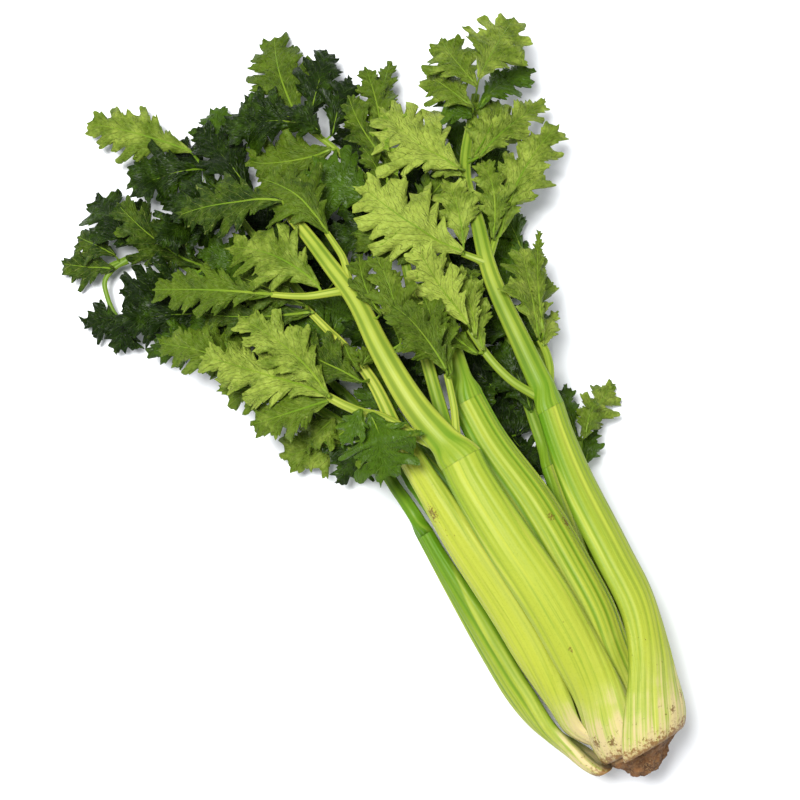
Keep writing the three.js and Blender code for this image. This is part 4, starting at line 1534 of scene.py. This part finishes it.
@dataclass
class LeafyTop:
    """The stems and leaflets on top of one stalk."""

    plan: StalkPlan
    number: int
    tint: float
    blade_thickness: float = 0.42
    seeds: int = 40  # for each leafy top
    low_seeds: int = 30  # of them, before those of its low leaflets
    stems: list[LeafStem] = field(default_factory=list)
    blades: list[Blade] = field(default_factory=list)

    def lay(self, petiole: Petiole, pile: Pile) -> None:
        """Lays the stems and then the leaflets on the pile.

        Args:
            petiole: the stalk that they grow on.
            pile: what lies there already.
        """
        pile.look()
        joint = self.plan.route[-1][1] + JOINT_GAP
        for i, stem in enumerate(self.plan.stems):
            curve = LeafStem.lifted(stem, pile)
            self.stems.append(LeafStem(stem, curve, joint, petiole if i == 0 else None, self.tint))
        pile.stamp(*petiole.solid())
        pile.settle()
        for stem in self.stems:
            pile.stamp(*stem.solid())
        curves = [stem.curve for stem in self.stems]
        seed = self.number * self.seeds
        for i, leaflet in enumerate(self.plan.leaflets):
            shows = self.plan.shows.other() if i in self.plan.turned else self.plan.shows
            self.blades.append(Blade(leaflet, self.plan, seed + i, shows, self.plan.tints_and_shade[i]))
            self.blades[-1].lay(curves, pile)
        # the low leaflets' dark tint is painted shade
        low = LOW_LEAFLETS.get(self.plan.name, LowLeaflets(0, ()))
        for i, leaflet in enumerate(low.leaflets, start=self.low_seeds):
            self.blades.append(Blade(leaflet, self.plan, seed + i, Side.UPPER, low.tint))
            self.blades[-1].lay(curves, Pile())
        pile.settle()

    def build(self, shift: np.ndarray, materials: list[Material]) -> Piece:
        """Models the leafy top.

        Args:
            shift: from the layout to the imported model, millimetres.
            materials: underside, upper side, underside again and stem.

        Returns:
            The finished piece.
        """
        name = f"celery_leaf_{self.plan.name}"
        sheets = [blade.build_sheet(shift, materials) for blade in self.blades]
        whole = join(sheets, name)
        thicken(whole, self.blade_thickness * MM)
        ribs = [blade.build_midrib(shift, materials) for blade in self.blades]
        stems = [stem.build(shift, materials) for stem in self.stems]
        whole = join([whole, *stems, *ribs], name)
        smooth(whole)
        return whole


# ---------------------------------------------------------------- crown
@dataclass
class Crown:
    """The squashed stem that the stalks stand round, with the rough root scar behind it."""

    sides: int = 96
    rings: int = 72
    crust: float = 1.1  # height of the scar's lumps, millimetres
    lumps: tuple[tuple[float, float], ...] = ((0.32, 1.0), (0.8, 0.55), (1.9, 0.3))  # how close, how high

    def profile(self) -> np.ndarray:
        """Gives its outline from the scar to the heart.

        Returns:
            A radius and a height a row, in millimetres.
        """
        return np.array([
            (0, -14), (5, -13.6), (9, -11), (11.5, -7), (CROWN_RADIUS - 2.5, -4.4), (CROWN_RADIUS, -2),
            (CROWN_RADIUS, 0.5), (12, 4.2), (INNER_RING - 6, 5.2), (HEART_RING - 3, 10), (0, 10.8),
        ])

    def build(self, shift: np.ndarray, material: Material) -> Piece:
        """Models the crown.

        Args:
            shift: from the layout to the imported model, millimetres.
            material: its finish.

        Returns:
            The finished piece.
        """
        piece, turn, ring = add_rings(self.sides, self.rings)
        line = self.profile()
        walked = np.concatenate([[0], np.cumsum(np.linalg.norm(np.diff(line, axis=0), axis=1))])
        spot = ring / self.rings * walked[-1]
        radius, height = (np.interp(spot, walked, line[:, k]) for k in range(2))
        lobes = 1 + 0.1 * np.sin(turn * 5) + 0.06 * np.sin(turn * 9 + 1)
        out = radius * np.where(height < ROUGH_START, lobes, 1)
        x = out * np.sin(turn) + SCAR_LEAN * np.minimum(0, height - SCAR_START)
        places = np.stack([x, height, out * np.cos(turn)], axis=1)
        outward = unit(places - (0.0, 2.0, 0.0))
        lumps = [sum(size * noise.noise(Vector(p) * pace) for pace, size in self.lumps) for p in places]
        scar = 1 - ease(height, -5, 0)
        places = places + outward * (self.crust * np.array(lumps) * mix(0.3, 1, scar))[:, None]
        move_vertices(piece, (places + BUTT + shift) * MM)
        mark(piece, turn * radius, height, scar)
        piece.data.materials.append(material)
        smooth(piece)
        rename(piece, "celery_crown")
        return piece
# ---------------------------------------------------------------- finishes
def colour(code: str) -> tuple[float, float, float, float]:
    """Turns an sRGB hex code into a linear colour.

    Args:
        code: six hex digits after a hash sign.

    Returns:
        Its red, green and blue, and full opacity.
    """
    parts = [int(code[i : i + 2], 16) / 255 for i in (1, 3, 5)]
    linear = [part / 12.92 if part <= 0.04045 else ((part + 0.055) / 1.055) ** 2.4 for part in parts]
    return (*linear, 1.0)


def add_node(
    tree: bpy.types.NodeTree, kind: str, inputs: dict | None = None, **settings: str
) -> bpy.types.Node:
    """Adds a node.

    Args:
        tree: the material's node tree.
        kind: the node's type.
        inputs: for each socket, a socket that feeds it or a value.
        settings: the node's own settings.

    Returns:
        The node.
    """
    node = tree.nodes.new(kind)
    for name, value in settings.items():
        setattr(node, name, value)
    for socket, value in (inputs or {}).items():
        if isinstance(value, Socket):
            tree.links.new(value, node.inputs[socket])
        else:
            node.inputs[socket].default_value = value
    return node


class Finish:
    """A material and the few steps that all the finishes share."""

    def __init__(self, name: str) -> None:
        """Starts a material with a Principled surface.

        Args:
            name: the material's name.
        """
        self.material = bpy.data.materials.new(name)
        self.material.use_nodes = True
        self.tree = self.material.node_tree
        self.tree.nodes.clear()
        self.surface = add_node(self.tree, "ShaderNodeBsdfPrincipled")
        add_node(self.tree, "ShaderNodeOutputMaterial", {"Surface": self.surface.outputs["BSDF"]})

    def set(self, **values: Feed | tuple[float, ...]) -> None:
        """Sets sockets of the surface.

        Args:
            values: for each socket a socket that feeds it or a value; an underscore stands for a space.
        """
        for name, value in values.items():
            socket = self.surface.inputs[name.replace("_", " ")]
            if isinstance(value, Socket):
                self.tree.links.new(value, socket)
            else:
                socket.default_value = value

    def math(self, operation: str, *values: Feed) -> Socket:
        """Works out a number."""
        node = add_node(self.tree, "ShaderNodeMath", dict(enumerate(values)), operation=operation)
        return node.outputs[0]

    def growth(self) -> tuple[Socket, Socket, Socket]:
        """Reads how a point has grown.

        Returns:
            How far across and along it is, in millimetres, and its tint.
        """
        written = add_node(self.tree, "ShaderNodeAttribute", attribute_name="growth")
        parts = add_node(self.tree, "ShaderNodeSeparateXYZ", {0: written.outputs["Vector"]})
        return parts.outputs[0], parts.outputs[1], parts.outputs[2]

    def share(self, name: str) -> Socket:
        """Reads a number from 0 to 1: the crest of a rib, or how hurt the skin is."""
        return add_node(self.tree, "ShaderNodeAttribute", attribute_name=name).outputs["Fac"]

    def place(self, x: Feed, y: Feed, z: Feed) -> Socket:
        """Makes a place for a pattern of three numbers."""
        return add_node(self.tree, "ShaderNodeCombineXYZ", {0: x, 1: y, 2: z}).outputs[0]

    def in_millimetres(self) -> Socket:
        """Gives the object's own coordinates in millimetres."""
        inputs = {0: add_node(self.tree, "ShaderNodeTexCoord").outputs["Object"], "Scale": 1 / MM}
        return add_node(self.tree, "ShaderNodeVectorMath", inputs, operation="SCALE").outputs[0]

    def noise(self, place: Socket, size: float, detail: float = 3.0, roughness: float = 0.55) -> Socket:
        """Makes an uneven pattern from 0 to 1 whose lumps are about `size` across."""
        inputs = {"Vector": place, "Scale": 1 / size, "Detail": detail, "Roughness": roughness}
        return add_node(self.tree, "ShaderNodeTexNoise", inputs).outputs["Fac"]

    def range(
        self, value: Feed, low: float, high: float, to_low: float = 0.0, to_high: float = 1.0
    ) -> Socket:
        """Stretches a number from one range to another, smoothly and within it.

        Args:
            value: the number.
            low: what turns into `to_low`.
            high: what turns into `to_high`.
            to_low: where the new range starts.
            to_high: where it ends.

        Returns:
            The new number.
        """
        inputs = {"Value": value, "From Min": low, "From Max": high, "To Min": to_low, "To Max": to_high}
        node = add_node(self.tree, "ShaderNodeMapRange", inputs, interpolation_type="SMOOTHSTEP")
        return node.outputs["Result"]

    def blend(self, share: Feed, one: Paint, other: Paint) -> Socket:
        """Mixes two colours.

        Args:
            share: how much of the other one there is, from 0 to 1.
            one: a colour.
            other: another one.

        Returns:
            The mixed colour.
        """
        paints = [colour(paint) if isinstance(paint, str) else paint for paint in (one, other)]
        inputs = {0: share, 6: paints[0], 7: paints[1]}
        return add_node(self.tree, "ShaderNodeMix", inputs, data_type="RGBA").outputs[2]

    def bump(self, height: Socket, distance: float) -> Socket:
        """Turns a height from 0 to 1 into a normal; `distance` is in millimetres."""
        inputs = {"Height": height, "Distance": distance * MM, "Strength": 1.0}
        return add_node(self.tree, "ShaderNodeBump", inputs).outputs["Normal"]


@dataclass(frozen=True)
class StalkSkin:
    """Celery stalk: a thin moist skin over pale watery flesh, blanched white near its foot.

    The strings that run up it show as fine light and dark lines, and bruises as brown specks.
    Sizes are in millimetres, and a zone is a stretch of the stalk, measured from its foot.
    """

    name: str = "moist_celery_stalk_skin"
    foot: str = "#bcac7a"
    blanched: str = "#a9ae56"
    pale: str = "#a1a837"
    green: str = "#507a0c"
    # painted shade: the darker green of the grooves between the ribs; the strings and grain take it too
    groove: str = "#547a12"
    crest: str = "#b4b848"
    bruise: str = "#5e3f1a"
    trimmed: str = "#76522b"
    string_width: float = 0.8  # real strings are finer, and wouldn't show
    band_width: float = 3.4
    grain_size: float = 1.1
    speck_size: float = 2.2
    patch_size: float = 24.0  # of the patches in which specks lie
    foot_lumps: float = 14.0  # of the uneven upper end of its foot
    foot_play: float = 8.0
    streak_play: float = 10.0  # how far the foot's white runs up between strings
    foot_zone: tuple[float, float] = (2.0, 28.0)
    blanched_zone: tuple[float, float] = (10.0, 52.0)
    trimmed_zone: tuple[float, float] = (1.0, 6.0)
    soiled_zone: tuple[float, float] = (5.0, 26.0)

    def colours(self, skin: Finish, reach: Socket) -> tuple[Socket, Socket]:
        """Colours the skin without its foot, so that a leaf's stem can start the same.

        Args:
            skin: the finish that is being made.
            reach: how far up the stalk a point has grown, millimetres.

        Returns:
            The colour and the pattern of its strings.
        """
        across, along, tint = skin.growth()
        crest = skin.share("crest")
        base = skin.blend(skin.range(reach, *self.blanched_zone), self.blanched, self.pale)
        greening = skin.math("MULTIPLY", skin.range(reach, 20, STEM_AGE, 0.15, 1), tint)
        base = skin.blend(greening, base, self.green)
        drawn_out = skin.place(across, skin.math("MULTIPLY", along, 0.012), tint)
        strings = skin.noise(drawn_out, self.string_width, 2)
        drawn_out = skin.place(across, skin.math("MULTIPLY", along, 0.02), 7.0)
        bands = skin.noise(drawn_out, self.band_width, 1)
        # painted shade: the grooves between the ribs are darkened, less so on the blanched foot
        groove_shade = skin.math("MULTIPLY", skin.range(crest, 0.75, 0.1, 0, 0.8), skin.range(reach, 12, 60, 0.3, 1))
        base = skin.blend(groove_shade, base, self.groove)
        base = skin.blend(skin.range(strings, 0.48, 0.74, 0, 0.4), base, self.groove)
        grain = skin.noise(skin.in_millimetres(), self.grain_size, 3, 0.7)
        base = skin.blend(skin.range(grain, 0.5, 0.75, 0, 0.22), base, self.groove)
        return skin.blend(skin.range(bands, 0.5, 0.7, 0, 0.5), base, self.crest), strings

    def brown(self, skin: Finish, own: Socket, specks: Socket, along: Socket) -> Socket:
        """Finds where the skin is brown.

        Args:
            skin: the finish that is being made.
            own: the object's own coordinates, in millimetres.
            specks: the pattern of its specks.
            along: how far up the stalk a point is, millimetres.

        Returns:
            How brown it is, from 0 to 1.
        """
        patches = skin.range(skin.noise(own, self.patch_size, 1), 0.54, 0.64)
        scattered = skin.math("MULTIPLY", skin.range(specks, 0.66, 0.72), patches)
        near_foot = skin.range(along, *self.soiled_zone, 1, 0)
        soiled = skin.math("MULTIPLY", skin.range(specks, 0.6, 0.68), near_foot)
        uneven = skin.math("MULTIPLY", skin.noise(own, 1.3, 4, 0.7), 2.2)
        bruised = skin.range(skin.math("ADD", skin.share("hurt"), uneven), 1.75, 2.1, 0, 0.85)
        return skin.math("MAXIMUM", skin.math("MAXIMUM", scattered, bruised), soiled)

    def make(self) -> Material:
        """Builds the material.

        Returns:
            The material.
        """
        skin = Finish(self.name)
        _, along, _ = skin.growth()
        own = skin.in_millimetres()
        lumps = skin.range(skin.noise(own, self.foot_lumps, 2), 0.3, 0.7, -self.foot_play, self.foot_play)
        reach = skin.math("ADD", along, lumps)
        base, strings = self.colours(skin, reach)
        streaks = skin.range(strings, 0.35, 0.65, -self.streak_play, self.streak_play)
        base = skin.blend(skin.range(skin.math("ADD", reach, streaks), *self.foot_zone), self.foot, base)
        specks = skin.noise(own, self.speck_size, 4, 0.7)
        ragged = skin.math("ADD", along, skin.range(specks, 0.3, 0.7, -4, 4))
        base = skin.blend(skin.range(ragged, *self.trimmed_zone, 0.9, 0), base, self.trimmed)
        skin.set(
            Base_Color=skin.blend(self.brown(skin, own, specks, along), base, self.bruise),
            Roughness=skin.range(strings, 0.3, 0.7, 0.46, 0.6), IOR=1.38,
            Specular_IOR_Level=0.3, Normal=skin.bump(strings, 0.16),
            Subsurface_Weight=0.12, Subsurface_Scale=0.0016, Subsurface_Radius=(1.0, 0.9, 0.2),
        )
        return skin.material


@dataclass(frozen=True)
class StemSkin:
    """Leaf stem: it starts as the stalk's own skin, then turns thinner, greener and more glossy."""

    name: str = "glossy_celery_leaf_stem_skin"
    pale: str = "#a0a83c"
    green: str = "#527612"
    # painted shade of the stem's grooves; its strings take it too
    groove: str = "#3f620e"
    cloud_size: float = 26.0  # of its paler and greener stretches, millimetres
    turning_zone: tuple[float, float] = (4.0, 34.0)  # where the stalk's skin turns into its own

    def make(self) -> Material:
        """Builds the material.

        Returns:
            The material.
        """
        skin = Finish(self.name)
        _, along, tint = skin.growth()
        crest = skin.share("crest")
        stalk, strings = StalkSkin().colours(skin, along)
        clouds = skin.noise(skin.in_millimetres(), self.cloud_size, 2)
        share = skin.math("MULTIPLY_ADD", clouds, 0.5, skin.math("MULTIPLY", tint, 0.62))
        base = skin.blend(skin.range(share, 0.3, 1.1), self.pale, self.green)
        # painted shade: darker green in the grooves
        base = skin.blend(skin.range(crest, 0.6, 0.05, 0, 0.6), base, self.groove)
        base = skin.blend(skin.range(strings, 0.5, 0.75, 0, 0.35), base, self.groove)
        start, end = self.turning_zone
        base = skin.blend(skin.range(along, STEM_AGE + start, STEM_AGE + end), stalk, base)
        skin.set(
            Base_Color=base, Roughness=0.44, IOR=1.38, Specular_IOR_Level=0.3,
            Normal=skin.bump(strings, 0.14),
            Subsurface_Weight=0.08, Subsurface_Scale=0.0012, Subsurface_Radius=(0.8, 1.0, 0.2),
        )
        return skin.material


@dataclass(frozen=True)
class BladeSkin:
    """One side of a celery leaf: a soft blade, quilted between branching veins; sizes in millimetres."""

    name: str
    light: str
    middle: str
    dark: str
    vein: str
    vein_share: float
    roughness: float
    quilting: float  # height of the cells between the veins
    vein_height: float  # height of the veins against that of the cells
    vein_wander: float = 5.0
    cell_size: float = 2.4
    blotch_size: float = 9.0

    def make(self) -> Material:
        """Builds the material.

        Returns:
            The material.
        """
        skin = Finish(self.name)
        across, along, tint = skin.growth()
        own = skin.in_millimetres()
        out = skin.math("ABSOLUTE", across)
        run = skin.math("SUBTRACT", along, skin.math("MULTIPLY", out, VEIN_SLOPE))
        run = skin.math("ADD", run, skin.range(skin.noise(own, self.vein_wander, 2), 0.2, 0.8, -1.1, 1.1))
        phase = skin.math("PINGPONG", skin.math("DIVIDE", run, VEIN_SPACING), 0.5)
        vein = skin.range(phase, 0.0, 0.05, 1, 0)
        cell = add_node(
            skin.tree, "ShaderNodeTexVoronoi",
            {"Vector": skin.place(skin.math("MULTIPLY", out, 1.6), run, tint), "Scale": 1 / self.cell_size},
            feature="DISTANCE_TO_EDGE",
        ).outputs["Distance"]
        network = skin.math("MAXIMUM", vein, skin.range(cell, 0.0, 0.06, 0.16, 0))
        blotch = skin.math("MULTIPLY_ADD", skin.noise(own, self.blotch_size, 4, 0.65), 1.0, -0.5)
        # the tint carries painted shade as well as each leaflet's own tone: high tints take the dark colour
        share = skin.math("ADD", tint, blotch)
        base = skin.blend(skin.range(share, 0.5, 1.0), self.middle, self.dark)
        base = skin.blend(skin.range(share, 0.5, 0.0), base, self.light)
        base = skin.blend(skin.math("MULTIPLY", network, self.vein_share), base, self.vein)
        puffed = skin.math("MULTIPLY", skin.range(cell, 0.0, 0.5), 0.6)
        height = skin.math("ADD", puffed, skin.math("MULTIPLY", network, self.vein_height))
        skin.set(
            Base_Color=base, Roughness=self.roughness, IOR=1.4, Specular_IOR_Level=0.18,
            Normal=skin.bump(height, self.quilting),
            Subsurface_Weight=0.08, Subsurface_Scale=0.0012, Subsurface_Radius=(0.5, 1.0, 0.2),
        )
        return skin.material


# The dark greens, darker than a leaf's own, paint the shade on leaflets that lie low in the pile, and the
# darker patches of the rest.
LEAF_UPPER = BladeSkin(
    name="glossy_upper_leaf_skin", light="#6c8622", middle="#3a540c", dark="#101f02", vein="#5f7828",
    vein_share=0.3, roughness=0.36, quilting=0.8, vein_height=0.2,
)
LEAF_UNDER = BladeSkin(
    name="matt_underside_leaf_skin", light="#8a9a3c", middle="#4b6010", dark="#1a2e03", vein="#98a650",
    vein_share=0.5, roughness=0.55, quilting=0.8, vein_height=0.5,
)


@dataclass(frozen=True)
class RootCork:
    """The trimmed root crown: corky brown skin, pale where it was cut, with soil in its hollows."""

    name: str = "corky_root_crown"
    pale: str = "#94744a"
    brown: str = "#76502c"
    dark: str = "#4a2f19"
    soil: str = "#2c1a0d"
    lump_size: float = 5.0  # millimetres
    grit_size: float = 1.3

    def make(self) -> Material:
        """Builds the material.

        Returns:
            The material.
        """
        cork = Finish(self.name)
        _, _, scar = cork.growth()
        place = cork.in_millimetres()
        lumps = cork.noise(place, self.lump_size, 5, 0.65)
        grit = cork.noise(place, self.grit_size, 4, 0.7)
        base = cork.blend(cork.range(lumps, 0.35, 0.6), self.dark, self.brown)
        base = cork.blend(cork.range(grit, 0.5, 0.66), base, self.pale)
        base = cork.blend(cork.range(scar, 0.1, 0.6, 0.8, 0), base, self.pale)
        soiled = cork.math("MULTIPLY", cork.range(grit, 0.58, 0.66), cork.range(lumps, 0.42, 0.55))
        base = cork.blend(soiled, base, self.soil)
        height = cork.math("ADD", lumps, cork.math("MULTIPLY", grit, 0.6))
        cork.set(Base_Color=base, Roughness=0.88, IOR=1.45, Normal=cork.bump(height, 1.2))
        return cork.material


@dataclass(frozen=True)
class TableTop:
    """A matt white sweep under the head."""

    name: str = "matt_white_sweep"
    white: str = "#f4f6f8"

    def make(self) -> Material:
        """Builds the material.

        Returns:
            The material.
        """
        sweep = Finish(self.name)
        sweep.set(Base_Color=colour(self.white), Roughness=0.7, Specular_IOR_Level=0.2)
        return sweep.material


# ---------------------------------------------------------------- studio
@dataclass(frozen=True)
class Softbox:
    """A soft square light that looks at the head."""

    name: str
    reach: Spot  # how far it is from the aim along the frame's right and up and back, in metres
    size: float  # the length of its side, in metres
    watts: float


@dataclass
class Studio:
    """The sweep, the lights and the camera; lengths in millimetres of the layout."""

    shift: np.ndarray
    aim: Spot = (0.0, 0.0, 30.0)
    distance: float = 1000.0
    tilt: float = 8.0  # how far the camera leans away from straight above, degrees
    turn: float = 30.0  # how far the frame's right side is turned from +X, degrees
    lens: float = 90.0
    sensor: float = 36.0
    sweep_size: float = 8.0  # metres
    surround: str = "#f6f8ff"
    surround_strength: float = 0.42
    lights: tuple[Softbox, ...] = (
        Softbox("key", (-0.35, 0.35, 1.45), 0.55, 39), Softbox("fill", (0.9, -0.5, 1.1), 1.2, 6),
    )

    def middle(self) -> Vector:
        """Gives the place that the camera and the lights look at, in metres."""
        return (Vector(self.aim) + Vector(self.shift)) * MM

    def directions(self) -> tuple[Vector, Vector, Vector]:
        """Works out which way the camera stands.

        Returns:
            The frame's right, its up and the way back to the camera.
        """
        turn, tilt = math.radians(self.turn), math.radians(self.tilt)
        right = Vector((math.cos(turn), -math.sin(turn), 0))
        across = Vector((math.sin(turn), math.cos(turn), 0))
        back = Vector((0, 0, 1)) * math.cos(tilt) - across * math.sin(tilt)
        return right, back.cross(right), back

    def add_camera(self) -> None:
        """Adds the camera at the angle from which the head is shown."""
        right, up, back = self.directions()
        data = bpy.data.cameras.new("camera")
        data.lens, data.sensor_width = self.lens, self.sensor
        data.clip_start, data.clip_end = 0.05, 20
        camera = bpy.data.objects.new("camera", data)
        bpy.context.collection.objects.link(camera)
        turned = Matrix((right, up, back)).transposed().to_4x4()
        place = (Vector(self.aim) + Vector(self.shift) + back * self.distance) * MM
        camera.matrix_world = Matrix.Translation(place) @ turned
        bpy.context.scene.camera = camera

    def add_light(self, softbox: Softbox) -> None:
        """Adds a light.

        Args:
            softbox: its name, place, size and power.
        """
        data = bpy.data.lights.new(softbox.name, "AREA")
        data.size, data.energy = softbox.size, softbox.watts
        light = bpy.data.objects.new(softbox.name, data)
        bpy.context.collection.objects.link(light)
        offset = sum((way * far for way, far in zip(self.directions(), softbox.reach)), Vector())
        turned = offset.to_track_quat("Z", "Y").to_matrix().to_4x4()
        light.matrix_world = Matrix.Translation(self.middle() + offset) @ turned

    def add_sweep(self) -> None:
        """Adds the white table under the head."""
        deselect()
        bpy.ops.mesh.primitive_plane_add(size=self.sweep_size)
        sweep = bpy.context.object
        sweep.name = "sweep"
        sweep.data.materials.append(TableTop().make())

    def add_surround(self) -> None:
        """Sets an even white surround."""
        world = bpy.data.worlds.new("surround")
        world.use_nodes = True
        bpy.context.scene.world = world
        ground = world.node_tree.nodes["Background"]
        ground.inputs["Color"].default_value = colour(self.surround)
        ground.inputs["Strength"].default_value = self.surround_strength

    def build(self) -> None:
        """Builds the studio."""
        self.add_camera()
        self.add_sweep()
        self.add_surround()
        for softbox in self.lights:
            self.add_light(softbox)
        bpy.context.scene.view_settings.view_transform = "Standard"


# ---------------------------------------------------------------- the head of celery
@dataclass
class CeleryHead:
    """The crown, the stalks and their leafy tops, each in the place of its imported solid."""

    petioles: list[Petiole] = field(default_factory=list)
    tops: list[LeafyTop] = field(default_factory=list)

    def lay(self) -> np.ndarray:
        """Lays every stalk and leaf on the pile, from the surface up.

        Returns:
            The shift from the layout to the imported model, in millimetres.
        """
        pile = Pile()
        for number, plan in enumerate(STALKS, start=1):
            petiole = Petiole(plan, GROWTH[plan.name], BRUISES.get(plan.name, ()))
            top = LeafyTop(plan, number, petiole.growth.green)
            top.lay(petiole, pile)
            self.petioles.append(petiole)
            self.tops.append(top)
        low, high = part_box(f"stalk_{plan.name}")
        points = self.petioles[-1].solid()[0]
        middle = (points.min(axis=0) + points.max(axis=0)) / 2
        shift = (np.array(low) + np.array(high)) / 2 / MM - middle
        shift[2] = 0
        return shift

    def dress(self, piece: Piece, node: str, slot: str) -> None:
        """Puts a finished piece in the place of its solid.

        Args:
            piece: the finished piece.
            node: the solid's name.
            slot: the material slot that it counts for; not used.
        """
        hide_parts(node)
        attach(piece, "root")
        log.info("%s: %d faces for %s", piece.name, len(piece.data.polygons), node)

    def build(self, shift: np.ndarray) -> None:
        """Models every piece.

        Args:
            shift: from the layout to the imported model, millimetres.
        """
        stalk_skin = StalkSkin().make()
        under, upper, stem = LEAF_UNDER.make(), LEAF_UPPER.make(), StemSkin().make()
        for petiole, top in zip(self.petioles, self.tops):
            self.dress(petiole.build(shift, stalk_skin), f"stalk_{petiole.plan.name}", "stalk")
            self.dress(top.build(shift, [under, upper, under, stem]), f"leaf_{top.plan.name}", "leaf")
        self.dress(Crown().build(shift, RootCork().make()), "crown", "crown")


def main() -> None:
    """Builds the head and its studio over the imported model."""
    logging.basicConfig(level=logging.INFO, format="%(name)s: %(message)s")
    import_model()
    head = CeleryHead()
    shift = head.lay()
    log.info("layout moved by %s mm", np.round(shift, 2))
    head.build(shift)
    Studio(shift).build()


if __name__ == "__main__":
    main()
